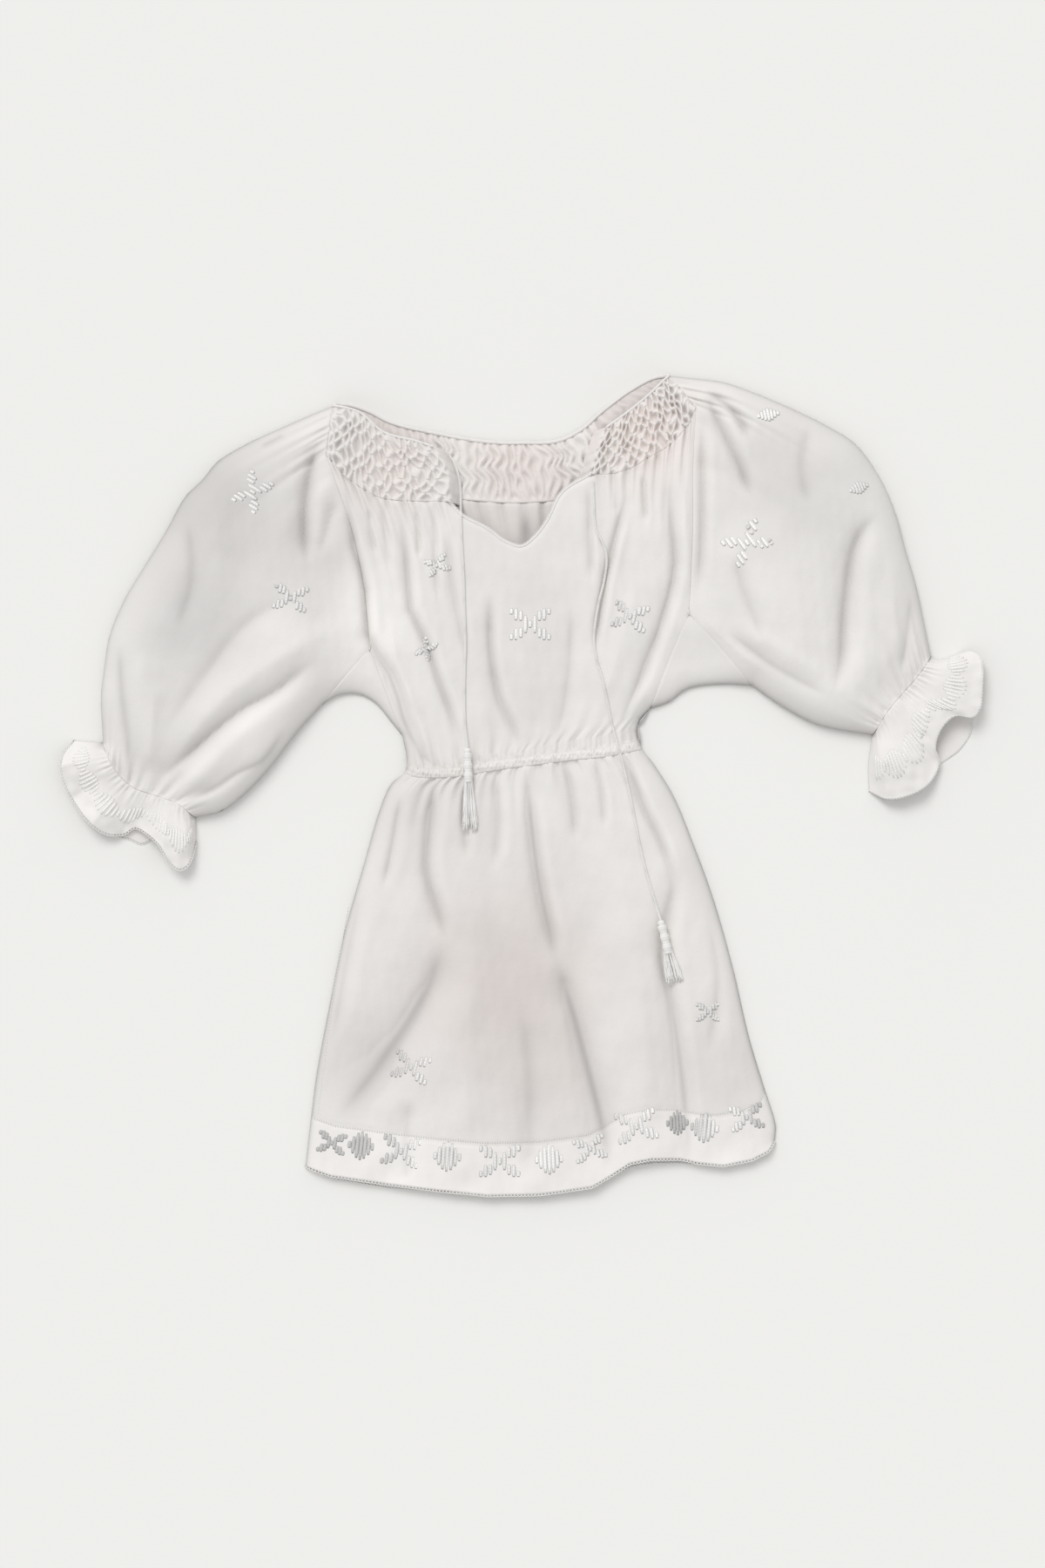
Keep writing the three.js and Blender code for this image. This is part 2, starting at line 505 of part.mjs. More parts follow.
const backSides = sides.map((side) => skirtSide(side, everySecond(SKIRT_ROWS).concat(1)));
add("skirt_back", backPanel(easedPanel(everySecond(towardsHem), backHem, ...backSides)), "lining");

// The back of the yoke shows inside the neck, with the pleats that the smocking draws up.
const yokeEdge = (side) => everySecond(side.shoulder);
const backNeck = marks(BACK_NECK, MARKS.waist);
const backYoke = easedPanel(backNeck, doubled(backFoot), yokeEdge(right), yokeEdge(left));
const backPleat = (j) => (j % 2 && j > BACK_PLEATS.from && j < BACK_PLEATS.to ? BACK_PLEATS.height : 0);
const yokeUnder = backYoke.map((row) => row.map((p) => p.clone()));
const yokeUpper = backYoke.map((row) => row.map((p, j) => p.clone().setZ(CLOTH + backPleat(j))));
add("yoke_back", wall(yokeUpper, yokeUnder), "smocking");

// A flattened tube: its front stands at the given heights and its back lies on the surface.
// Both grids run from one folded edge to the other, and from one open end to the other.
function tube(front, back) {
  const rows = front.length - 1;
  const columns = front[0].length - 1;
  const insideFold = (grid, i, j) => {
    const towards = grid[i === 0 ? 1 : grid.length - 2][j];
    const step = new THREE.Vector3(towards.x - grid[i][j].x, towards.y - grid[i][j].y, 0).normalize();
    return grid[i][j].clone().addScaledVector(step, CLOTH);
  };
  const frontInner = front.map((row, i) => row.map((p, j) => {
    if (i === 0 || i === rows) return insideFold(front, i, j).setZ(FRONT_Z);
    const up = j === 0 || j === columns ? new THREE.Vector3(0, 0, 1) : facing(front, i, j);
    const q = p.clone().addScaledVector(up, -CLOTH);
    return q.setZ(Math.max(q.z, FRONT_Z));
  }));
  const backInner = back.map((row, i) => row.map((p, j) => {
    const q = i === 0 || i === back.length - 1 ? insideFold(back, i, j) : p.clone();
    return q.setZ(CLOTH);
  }));
  const ring = (a, b, j) => [...a.map((row) => row[j]), ...b.map((row) => row[j]).reverse()];
  const rings = (a, b) => a[0].map((_, j) => ring(a, b, j));
  return wall(rings(front, back), rings(frontInner, backInner), true);
}
const laid = (grid) => grid.map((row) => row.map((p) => p.clone().setZ(0)));
const FOLD_Z = FRONT_Z + CLOTH;
const raised = (grid, heightAt) => grid.map((row, i) => row.map((p, j) => {
  const fold = i === 0 || i === grid.length - 1;
  return p.clone().setZ(fold ? FOLD_Z : Math.max(heightAt(p, i, j), FOLD_Z + 0.1));
}));

// Sleeves, gathered at the yoke and at the cuff
const FRILL_ROUNDING = 0.11; // the share of the frill's width in which it rounds over at each fold
for (const side of sides) {
  const { plan } = side;
  const head = joined(side.shoulder, side.armhole, side.gussetSleeve);
  const folds = [plan.sleeveTop, plan.sleeveUnder].map((edge) => marks(edge, MARKS.sleeve));
  const cut = easedPanel(...folds, head, side.cuff);
  const drawnUp = ({ height, fade }, seam, p) => height * Math.exp(-nearest(p.x, p.y, seam).far / fade);
  const front = raised(cut, (p, i) => clothHeight(p.x, p.y) + pleat(i) * (
    drawnUp(GATHERS.cuff, side.cuff, p) + drawnUp(GATHERS.yoke, side.shoulder, p)));
  add(`sleeve_${side.name}`, tube(front, laid(cut)), "cotton");

  // The frill opens out of the gathered cuff in flutes.
  const top = marks(plan.frillTop, MARKS.frill);
  const under = marks(plan.frillUnder, MARKS.frill);
  const frillCut = easedPanel(top, under, doubled(side.cuff), marks(plan.frillEdge, 2 * MARKS.cuff));
  const frillBack = easedPanel(top, under, side.cuff, marks(plan.frillBackEdge, MARKS.cuff));
  const frill = raised(frillCut, (p, i, j) => {
    const share = i / (2 * MARKS.cuff);
    const open = j / MARKS.frill;
    const rounding = Math.sqrt(1 - (1 - clamp(Math.min(share, 1 - share) / FRILL_ROUNDING, 0, 1)) ** 2);
    const drawn = clothHeight(p.x, p.y) + (i % 2 ? 0 : pleat(i / 2) * GATHERS.cuff.height);
    const flared = THREE.MathUtils.lerp(drawn, readOff(side.flutes, share, "height"), smooth(open));
    return FOLD_Z + (flared - FOLD_Z) * rounding;
  });
  add(`cuff_frill_${side.name}`, tube(frill, laid(frillBack)), "cotton");
}

// Underarm gussets, folded along their lower edge
const GUSSET_ROWS = [0.045, 0.35, 0.68, 1]; // shares of the way from the gusset's point to its fold
for (const side of sides) {
  const along = (line, share) => between(line[0], line.at(-1), share);
  const grid = GUSSET_ROWS.map((share) => side.gussetFold.map((fold, j, all) => {
    const t = j / (all.length - 1);
    const straight = along([along(side.gussetBodice, share), along(side.gussetSleeve, share)], t);
    return straight.addScaledVector(fold.clone().sub(along(all, t)), share ** 2);
  }));
  const last = GUSSET_ROWS.length - 1;
  const cut = easedPanel(grid[0], grid[last], grid.map((row) => row[0]), grid.map((row) => row.at(-1)));
  const front = cut.map((row, i) => row.map((p) => p.clone().setZ(
    i === last ? FOLD_Z : Math.max(clothHeight(p.x, p.y), FOLD_Z + 0.1))));
  const innerAt = (i, j, z) => {
    const p = cut[i][j].clone();
    if (i === last) p.add(new THREE.Vector3().subVectors(cut[last - 1][j], p).setLength(CLOTH));
    return p.setZ(z);
  };
  const frontInner = front.map((row, i) => row.map((p, j) => innerAt(i, j, Math.max(p.z - CLOTH, FRONT_Z))));
  const backInner = cut.map((row, i) => row.map((p, j) => innerAt(i, j, CLOTH)));
  const folded = (face, underFace) => [...face, ...[...underFace].reverse()];
  add(`gusset_${side.name}`, wall(folded(front, laid(cut)), folded(frontInner, backInner)), "cotton");
}

// The waist's elastic casing: a narrow band right round
{
  const band = (upper, lower) => easedPanel(upper, lower, [upper[0], lower[0]], [upper.at(-1), lower.at(-1)]);
  const across = (grid) => grid[0].map((_, j) => grid.map((row) => row[j]));
  const front = across(band(towardsNeck, towardsHem));
  const back = across(band(everySecond(towardsNeck), everySecond(towardsHem)));
  const drawn = raised(front, (p, i) => clothHeight(p.x, p.y) + pleat(i) * CASING_RELIEF);
  add("waist_casing", tube(drawn, laid(back)), "cotton");
}

// Upper height of what has been laid so far, at a place of the plan.
const caster = new THREE.Raycaster();
const CENTRE = new THREE.Vector2(0, 0);
function topAt(x, y, reach) {
  dress.updateMatrixWorld(true);
  const above = 500;
  const turned = (k) => new THREE.Vector2(reach / (1 + (k % 2)), 0).rotateAround(CENTRE, (k * Math.PI) / 6);
  const around = Array.from({ length: 12 }, (_, k) => turned(k));
  return Math.max(...[CENTRE, ...around].map((offset) => {
    caster.set(new THREE.Vector3(x + offset.x, y + offset.y, above), new THREE.Vector3(0, 0, -1));
    return above - (caster.intersectObject(dress)[0]?.distance ?? above);
  }));
}

// Lifts a line of plan points on to the cloth, as high as its highest place near each of them.
function seated(plan, width) {
  const reach = plan[0].distanceTo(plan[1]) / 2 + width / 2;
  const rest = plan.map((p) => topAt(p.x, p.y, reach) + width / 2 + GAP);
  const bridged = rest.map((z, k) => Math.max(z, ((rest[k - 1] ?? z) + (rest[k + 1] ?? z)) / 2));
  return plan.map((p, k) => p.clone().setZ(bridged[k]));
}

// A rod of the given width and number of sides along a path.
function rod(path, width, faces, steps) {
  const turned = (k) => new THREE.Vector2(width / 2, 0).rotateAround(CENTRE, (2 * Math.PI * k) / faces);
  const section = new THREE.Shape(Array.from({ length: faces }, (_, k) => turned(k)));
  return bare(new THREE.ExtrudeGeometry(section, { steps, extrudePath: path, bevelEnabled: false }));
}
function bare(geometry) {
  ["normal", "uv"].forEach((name) => geometry.deleteAttribute(name));
  return facingOut(mergeVertices(geometry, 1e-4));
}
const toManifold = (geometry) => new wasm.Manifold(new wasm.Mesh({
  numProp: 3,
  vertProperties: new Float32Array(geometry.attributes.position.array),
  triVerts: new Uint32Array(geometry.index.array),
}));
function fused(geometries) {
  const mesh = wasm.Manifold.union(geometries.map(toManifold)).getMesh();
  const geometry = new THREE.BufferGeometry();
  geometry.setAttribute("position", new THREE.BufferAttribute(new Float32Array(mesh.vertProperties), 3));
  geometry.setIndex(Array.from(mesh.triVerts));
  return geometry;
}

// Each tassel: a bound head with strands fanned out on the cloth below it.
const HEAD_LENGTH = 1.25 * TASSEL_HEAD;
const HEAD_PROFILE = [ // radius and place along the head, as shares of its diameter and its length
  { r: 0, h: 0 }, { r: 0.3, h: 0.03 }, { r: 0.5, h: 0.3 }, { r: 0.44, h: 0.7 }, { r: 0.36, h: 0.86 },
  { r: 0.42, h: 0.98 }, { r: 0, h: 1 },
];
const ROOTS = { reach: 0.62, width: 0.12, layers: 2 }; // where the strands start inside the head
for (const side of sides) {
  const { from, to, spread } = side.tassel;
  const start = vector(from);
  const along = vector(to).sub(start);
  const length = along.length();
  along.normalize();
  const across = new THREE.Vector3(-along.y, along.x, 0);
  const middle = start.clone().addScaledVector(along, HEAD_LENGTH / 2);
  const headZ = topAt(middle.x, middle.y, HEAD_LENGTH / 2) + TASSEL_HEAD / 2 + GAP;
  side.tieEnd = { z: headZ };
  const head = bare(new THREE.LatheGeometry(
    HEAD_PROFILE.map(({ r, h }) => new THREE.Vector2(r * TASSEL_HEAD, h * HEAD_LENGTH)), 8));
  head.applyQuaternion(new THREE.Quaternion().setFromUnitVectors(new THREE.Vector3(0, 1, 0), along));
  head.translate(start.x + along.x * GAP, start.y + along.y * GAP, headZ);
  const strands = STRANDS.map((strand) => {
    const plan = Array.from({ length: STRAND_STEPS + 1 }, (_, k) => {
      const share = k / STRAND_STEPS;
      const reach = THREE.MathUtils.lerp(ROOTS.reach * HEAD_LENGTH, length * strand.share, share);
      const out = spread * strand.aside * THREE.MathUtils.lerp(ROOTS.width, 1, share ** 0.7);
      return start.clone().addScaledVector(along, reach).addScaledVector(across, out);
    });
    const rootZ = headZ + (strand.layer - 0.6) * ROOTS.layers;
    const lift = TASSEL_STRAND * strand.layer;
    const path = seated(plan, TASSEL_STRAND).map((p, k) => p.setZ(k ? p.z + lift : rootZ));
    return rod(new THREE.CatmullRomCurve3(path), TASSEL_STRAND, 3, STRAND_STEPS);
  });
  side.tasselBody = fused([head, ...strands]);
}

// The ties lie over the cloth, from the neck slit down to their tassels.
const TIE_STEP = 7.6;
const TIE_CLIMB = 5; // steps in which a tie rises to the middle of its tassel's head
for (const side of sides) {
  const steps = Math.ceil(new THREE.CatmullRomCurve3(side.tie.map(vector)).getLength() / TIE_STEP);
  const rest = seated(marks(side.tie, steps), TIE_DIAMETER);
  const path = rest.map((p, k) => {
    const towardsHead = smooth(clamp(1 + (k - steps) / TIE_CLIMB, 0, 1));
    return p.setZ(Math.max(p.z, THREE.MathUtils.lerp(p.z, side.tieEnd.z, towardsHead)));
  });
  add(`tie_cord_${side.name}`, rod(new THREE.CatmullRomCurve3(path), TIE_DIAMETER, 8, steps), "cord");
}
for (const side of sides) add(`tassel_${side.name}`, side.tasselBody, "cord");

export default dress;
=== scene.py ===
"""A white cotton peasant dress laid out flat on its back, seen by its wearer's front.

Each panel is a grid of points between its seams, drawn up in folds, pleats and gathers.
Plan places are millimetres in the row frame: x runs across, y from hem to neck, z up from the surface.
"""
import math
from collections import namedtuple

import bpy
import numpy as np
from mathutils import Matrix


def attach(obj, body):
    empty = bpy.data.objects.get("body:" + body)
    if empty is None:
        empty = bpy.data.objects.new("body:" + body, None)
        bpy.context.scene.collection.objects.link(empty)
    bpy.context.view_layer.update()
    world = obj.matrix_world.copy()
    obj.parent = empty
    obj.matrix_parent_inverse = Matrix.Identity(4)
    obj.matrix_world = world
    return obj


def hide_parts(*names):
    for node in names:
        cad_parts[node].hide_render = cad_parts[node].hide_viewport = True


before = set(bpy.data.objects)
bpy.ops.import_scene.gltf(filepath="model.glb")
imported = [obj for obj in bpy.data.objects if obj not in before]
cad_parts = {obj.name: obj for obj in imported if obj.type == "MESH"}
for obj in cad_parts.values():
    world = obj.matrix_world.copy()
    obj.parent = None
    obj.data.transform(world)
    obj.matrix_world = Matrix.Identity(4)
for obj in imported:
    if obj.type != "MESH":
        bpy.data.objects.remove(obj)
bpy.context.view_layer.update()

bl_info = {
    "name": "Peasant Dress",
    "version": (1, 0, 0),
    "blender": (4, 5, 0),
    "location": "View3D > Sidebar > Dress",
    "description": "Lays out a white cotton dress with smocking, gathers, embroidery and tasselled ties",
    "category": "Add Mesh",
}

# The stage: metres, and strengths of its lights
CAMERA_HEIGHT = 4.0
FRAMED_HEIGHT = 1.656
WINDOW_LIGHT = 1.35
WINDOW_SOFTNESS = 0.5
ROOM_LIGHT = 0.68

MM = 0.001
TAU = 2 * math.pi

# Sizes shared with the solids, in millimetres
FRONT_Z = 1.5
CASING_WIDTH = 8
TROUGH_Z = 9.2
ROUNDING_LEAST = 7
ROUNDING_PER_HEIGHT = 1.15
BORDER_DEPTH = 52
SMOCKED_ROWS = 8

# How the cloth is drawn up and where it lies, in millimetres or shares
# painted shade in the smocking's hollows
HOLLOW_SHADE = 0.17  # how dark the hollows of the smocking are
WARP = 0.38  # how unevenly the smocking is drawn up
LEFT_FULLER = 1.4  # how much deeper the left yoke's smocking is
GUSSET_ROWS = 22
FACING_Z = 5.5  # where the slit's facing ends
LEAST_Z = 1.0  # the lowest a front comes
UNDER_Z = 0.1  # where cloth lies on the floor
WAIST_LENGTH = 252
SKIRT_LENGTH = 438
YOKE_FOOT_LENGTH = 430
BACK_FOOT_LENGTH = 400
HEAD_ROUND = 320
CUFF_ROUND = 140
YOKE_SEEDS = {"right": 51, "left": 61}

# Marks along the seams, where panels meet
SAMPLES = 8  # points of a seam's line for each of its marks
MARKS = {"yoke": 16, "slit": 12, "armhole": 8, "gusset": 3, "side": 2, "shoulder": 6}
MARKS["waist"] = 2 * MARKS["yoke"] + MARKS["slit"]
MARKS["cuff"] = MARKS["shoulder"] + MARKS["armhole"] + MARKS["gusset"]

# Plan of the dress as it lies: edges and seams
WAIST = [(-123, 16), (-110, 12), (-73, 12), (-36, 18), (0, 23), (46, 29), (92, 34), (125, 41)]
SLIT = [(-77, 297), (-64, 283), (-36, 268), (-18, 255), (-1, 250), (12, 259), (26, 277), (42, 307), (72, 326)]
BACK_NECK = [(-200, 399), (-186, 400), (-165, 394), (-138, 381), (-92, 370), (-36, 361), (0, 360), (37, 362),
             (62, 374), (84, 393), (112, 414), (138, 428), (155, 431)]
BACK_YOKE = [(-206, 345), (-160, 322), (-110, 305), (-60, 300), (0, 297), (60, 305), (110, 335), (182, 395)]
RIGHT = {
    "shoulder": [(-200, 399), (-206, 345)],
    "armhole": [(-206, 345), (-197, 320), (-182, 276), (-171, 230), (-165, 190), (-161, 142)],
    "gusset_sleeve": [(-161, 142), (-211, 84)],
    "gusset_bodice": [(-161, 142), (-127, 51)],
    "gusset_fold": [(-127, 51), (-139, 66), (-156, 86), (-174, 95), (-196, 93), (-211, 84)],
    "side": [(-127, 51), (-123, 32), (-123, 16)],
    "skirt": [(-123, 16), (-140, -2), (-151, -28), (-167, -83), (-188, -157), (-203, -230), (-217, -304),
              (-224, -359), (-229, -403)],
    "neck": [(-200, 399), (-172, 391), (-146, 370), (-113, 361), (-94, 355)],
    "yoke_end": [(-94, 355), (-80, 331), (-77, 297)],
    "yoke_foot": [(-206, 345), (-188, 325), (-170, 311), (-147, 300), (-110, 297), (-77, 297)],
    "sleeve_top": [(-200, 399), (-215, 393), (-252, 377), (-293, 358), (-322, 340), (-338, 321), (-356, 303),
                   (-377, 266), (-399, 230), (-421, 193), (-436, 156), (-442, 119), (-445, 92), (-443, 44)],
    "sleeve_under": [(-211, 84), (-230, 64), (-245, 46), (-274, 9), (-316, -28), (-345, -35)],
    "cuff": [(-443, 44), (-427, 13), (-410, -4), (-388, -12), (-363, -21), (-345, -35)],
    "frill_top": [(-443, 44), (-473, 46)],
    "frill_under": [(-345, -35), (-345, -60)],
    "frill_edge": [(-473, 46), (-484, 29), (-483, 4), (-464, -30), (-441, -51), (-422, -53), (-409, -46),
                   (-396, -52), (-381, -65), (-370, -83), (-360, -90), (-351, -83), (-345, -60)],
    "frill_back": [(-473, 46), (-481, 29), (-480, 4), (-462, -28), (-438, -50), (-414, -58), (-402, -63),
                   (-390, -58), (-378, -67), (-368, -80), (-360, -86), (-352, -79), (-345, -60)],
}
LEFT = {
    "shoulder": [(155, 431), (182, 395)],
    "armhole": [(182, 395), (179, 331), (179, 276), (177, 220), (175, 179)],
    "gusset_sleeve": [(175, 179), (242, 104)],
    "gusset_bodice": [(175, 179), (134, 79)],
    "gusset_fold": [(134, 79), (154, 86), (174, 100), (208, 105), (242, 104)],
    "side": [(134, 79), (123, 66), (121, 52), (125, 41)],
    "skirt": [(125, 41), (158, -10), (181, -65), (201, -120), (222, -194), (239, -267), (255, -320),
              (267, -360), (266, -376)],
    "neck": [(155, 431), (129, 406), (105, 387), (88, 375)],
    "yoke_end": [(88, 375), (79, 349), (72, 326)],
    "yoke_foot": [(182, 395), (173, 377), (157, 358), (134, 344), (111, 331), (92, 326), (72, 326)],
    "sleeve_top": [(155, 431), (182, 428), (212, 424), (242, 414), (287, 395), (323, 377), (352, 358),
                   (378, 322), (394, 285), (404, 248), (415, 211), (423, 174), (431, 135)],
    "sleeve_under": [(242, 104), (274, 82), (308, 64), (336, 57), (369, 52)],
    "cuff": [(431, 135), (415, 112), (401, 96), (384, 76), (369, 52)],
    "frill_top": [(431, 135), (440, 132), (460, 138)],
    "frill_under": [(369, 52), (365, 18), (366, -8)],
    "frill_edge": [(460, 138), (474, 140), (483, 133), (484, 101), (481, 78), (474, 70), (455, 71), (441, 58),
                   (435, 38), (440, 22), (428, 0), (405, -13), (384, -16), (366, -8)],
    "frill_back": [(460, 138), (474, 139), (483, 132), (484, 101), (482, 80), (476, 67), (474, 54), (462, 36),
                   (452, 28), (441, 20), (427, 0), (405, -11), (384, -13), (366, -8)],
}
SIDES = (("right", RIGHT), ("left", LEFT))

# The hem's sag below the line between its corners: share of that line, front, back
HEM_SAG = np.array([
    (0, 0, 0), (0.055, 11, 13.5), (0.18, 23.5, 26.5), (0.28, 32, 33.5), (0.39, 40.5, 38), (0.5, 42.5, 39.5),
    (0.61, 37.5, 34), (0.65, 27, 27), (0.69, 15, 18.5), (0.735, 11.5, 15.5), (0.8, 13.5, 17), (0.84, 19, 20),
    (0.89, 22.5, 20), (0.95, 18.5, 16), (0.985, 10.5, 8), (1, 0, 0),
])
# How high the front stands at places of the plan: x, y, height, reach
LOFT = [
    (0, -420, 12, 90), (-190, -380, 9, 80), (210, -360, 10, 80), (0, -250, 17, 130), (0, -90, 17, 100),
    (0, 26, 11, 60), (0, 150, 18, 100), (0, 270, 19, 80), (-140, 340, 17, 50), (120, 370, 17, 50),
    (-165, 90, 10, 45), (185, 115, 10, 45), (-230, 330, 23, 60), (230, 370, 23, 60), (-172, 250, 17, 55),
    (179, 290, 17, 55), (-168, 165, 15, 42), (177, 208, 15, 42), (-310, 190, 40, 110), (290, 240, 40, 110),
    (-375, 70, 30, 60), (375, 150, 30, 60), (-395, -5, 12, 28), (400, 95, 12, 28),
]
# Painted shade patches on the lawn, painted light where less light is negative, with a pinkish tint:
# x, y, reach, less light, more blush
PAINTED_SHADE_PATCHES = [
    (-325, 300, 80, 0.24, 0.0), (-350, 170, 60, 0.18, 0.0), (-385, 60, 45, 0.10, 0.0),
    (-215, 240, 50, 0.12, 0.1), (-270, 60, 45, -0.06, 0.0), (285, 320, 75, 0.16, 0.0),
    (395, 210, 70, 0.04, 0.0), (212, 184, 40, 0.04, 0.0), (-20, -200, 105, 0.12, 0.75),
    (-100, -30, 50, 0.07, 0.2), (-165, -290, 60, 0.10, 0.2), (40, -50, 60, 0.03, 0.0),
    (205, -300, 70, 0.10, 0.2), (30, -330, 80, 0.08, 0.3), (-140, 332, 55, -0.04, 0.6),
    (130, 365, 60, -0.10, 0.8),
    (-165, 180, 45, -0.12, 0.0), (0, 200, 70, 0.04, 0.1), (0, 100, 70, 0.04, 0.1), (195, -100, 40, 0.05, 0.0),
    (-100, 8, 40, 0.02, 0.1),
]

# A crease: its line in plan, the width and height of its fall, and of the ridge beside it on its left
Crease = namedtuple("Crease", "line width height bank", defaults=(0,))
BODICE_CREASES = [
    Crease([(-186, 318), (-179, 256), (-166, 205), (-163, 154), (-137, 108), (-126, 70), (-109, 33),
            (-88, 14)], 7, -6.5, 2.2),
    Crease([(-176, 262), (-172, 200), (-168, 150)], 8, 3.5),
    Crease([(-162, 290), (-159, 262), (-154, 240)], 4, -2.4, 1),
    Crease([(-131, 295), (-124, 250), (-121, 214), (-117, 177), (-104, 154), (-89, 109), (-76, 74),
            (-64, 40)], 6, -6, 2),
    Crease([(-113, 288), (-110, 262), (-109, 236)], 3.4, -3, 1),
    Crease([(-147, 296), (-144, 262), (-140, 226)], 4, -2, 0.8),
    Crease([(-95, 294), (-92, 262), (-92, 226), (-88, 190)], 4, -2.4, 1),
    Crease([(-78, 270), (-75, 219), (-67, 172), (-58, 128)], 6, -3, 1.4),
    Crease([(-33, 205), (-34, 143), (-24, 87), (-8, 53), (-1, 34)], 6, -5.5, 2),
    Crease([(52, 191), (50, 132), (44, 80), (34, 42)], 9, -3, 1),
    Crease([(69, 318), (71, 262), (73, 212)], 4, -3.2, 1.4),
    Crease([(110, 306), (92, 239), (81, 183), (76, 140)], 5, -5.5, 2),
    Crease([(126, 326), (128, 300), (130, 274)], 3.6, -3.2, 1),
    Crease([(153, 330), (157, 270), (160, 228), (148, 177), (126, 115), (105, 67)], 7, -6, 2),
    Crease([(96, 330), (98, 300), (100, 282)], 4, -2, 1),
    Crease([(170, 330), (170, 250), (168, 190)], 7, 2.6),
    Crease([(-140, 176), (-128, 118), (-104, 66)], 6, 2.6),
    Crease([(-8, 190), (4, 120), (12, 60)], 12, 2),
    Crease([(120, 210), (104, 150), (84, 84)], 11, 3),
]
SKIRT_CREASES = [
    Crease([(4, 16), (9, -40), (17, -102), (27, -150), (37, -190)], 8, -8.5, 3),
    Crease([(34, -176), (52, -240), (68, -300), (84, -362), (92, -410)], 19, -8, 2.5),
    Crease([(40, -200), (58, -256), (74, -318), (86, -372)], 5, -2.4),
    Crease([(-92, 8), (-99, -50), (-101, -95), (-88, -140), (-80, -168)], 9, -7, 2.4),
    Crease([(-80, -160), (-98, -212), (-124, -258), (-160, -308), (-196, -352)], 22, -7, 2),
    Crease([(-96, -206), (-126, -256), (-158, -300)], 7, -2.2),
    Crease([(-62, -60), (-52, -190), (-58, -300), (-60, -420)], 24, 5),
    Crease([(-30, 12), (-26, -40), (-30, -88)], 7, -3.4, 1.4),
    Crease([(-60, 10), (-62, -34), (-58, -80)], 6, -3, 1.2),
    Crease([(94, -44), (112, -150), (128, -270), (132, -392)], 20, 6),
    Crease([(104, 34), (114, 10), (128, -28), (146, -64), (158, -100)], 6, -5, 2),
    Crease([(44, 24), (52, -14), (56, -60)], 6, -3.6, 1.4),
    Crease([(76, 28), (84, -12), (86, -48)], 5, -3.2, 1.2),
    Crease([(146, -84), (152, -76), (158, -110), (146, -170), (160, -250), (170, -330), (176, -400)],
           9, -6, 2.2),
    Crease([(205, -230), (212, -300), (222, -392)], 18, 4),
    Crease([(196, -140), (206, -210), (196, -286)], 9, -3, 1),
    Crease([(-170, -110), (-186, -190), (-200, -270)], 9, -2.6, 1),
    Crease([(-128, -8), (-136, -60), (-146, -110)], 7, -3.4, 1.2),
    Crease([(0, -230), (8, -320), (4, -420)], 22, -3.4, 1),
    Crease([(-118, -330), (-124, -380), (-122, -420)], 12, -3, 1),
]
SLEEVE_CREASES = [
    Crease([(-212, 362), (-222, 338), (-229, 297), (-230, 262), (-226, 232)], 10, -8, 3),
    Crease([(-276, 354), (-264, 360), (-250, 368)], 6, -3.5, 1.5),
    Crease([(-196, 300), (-206, 270), (-214, 240)], 8, -3, 1),
    Crease([(-180, 172), (-240, 140), (-310, 90), (-378, 14)], 17, 6),
    Crease([(-214, 132), (-262, 96), (-292, 80), (-316, 62), (-352, 30), (-380, 6)], 12, -8, 3),
    Crease([(-246, 64), (-274, 24), (-292, 15), (-303, 9), (-322, -4), (-354, -18)], 8, -8, 3),
    Crease([(-424, 150), (-420, 90), (-414, 46), (-412, 14)], 12, -5, 2),
    Crease([(-384, 110), (-388, 60), (-392, 12)], 9, 4),
    Crease([(-236, 200), (-288, 170), (-330, 120), (-372, 60)], 15, -3.4, 1.4),
    Crease([(-330, 322), (-316, 262), (-318, 200)], 16, 3),
    Crease([(-352, 280), (-346, 214), (-362, 160)], 13, -3.4, 1),
    Crease([(192, 414), (208, 404), (226, 386), (238, 362)], 7, -6, 2),
    Crease([(194, 408), (210, 371), (228, 333), (240, 300)], 7, -6.5, 2),
    Crease([(188, 380), (189, 300), (186, 200)], 6, -5, 2),
    Crease([(378, 290), (350, 256), (338, 190), (334, 128), (328, 98)], 12, -8, 3),
    Crease([(396, 252), (390, 190), (396, 128)], 13, 5),
    Crease([(186, 178), (225, 140), (262, 112)], 9, 3),
    Crease([(214, 160), (262, 124), (320, 92)], 10, -4.5, 1.6),
    Crease([(258, 300), (280, 220), (296, 120)], 18, 3.4),
    Crease([(300, 380), (292, 330), (300, 290)], 12, -3.4, 1.2),
    Crease([(408, 200), (404, 160), (398, 116)], 7, -4, 1.6),
    Crease([(222, 240), (232, 200), (252, 150)], 11, -3.4, 1.2),
]
CREASES = BODICE_CREASES + SKIRT_CREASES + SLEEVE_CREASES

# Heights of each frill's flutes along its edge: share of the edge, height
RIGHT_FLUTES = np.array([(0, 4), (0.12, 19), (0.26, 10), (0.4, 21), (0.53, 6), (0.6, 6), (0.75, 22),
                         (0.9, 15), (1, 4)])
LEFT_FLUTES = np.array([(0, 4), (0.12, 17), (0.3, 22), (0.45, 19), (0.55, 17), (0.66, 8), (0.8, 20),
                        (0.92, 16), (1, 4)])

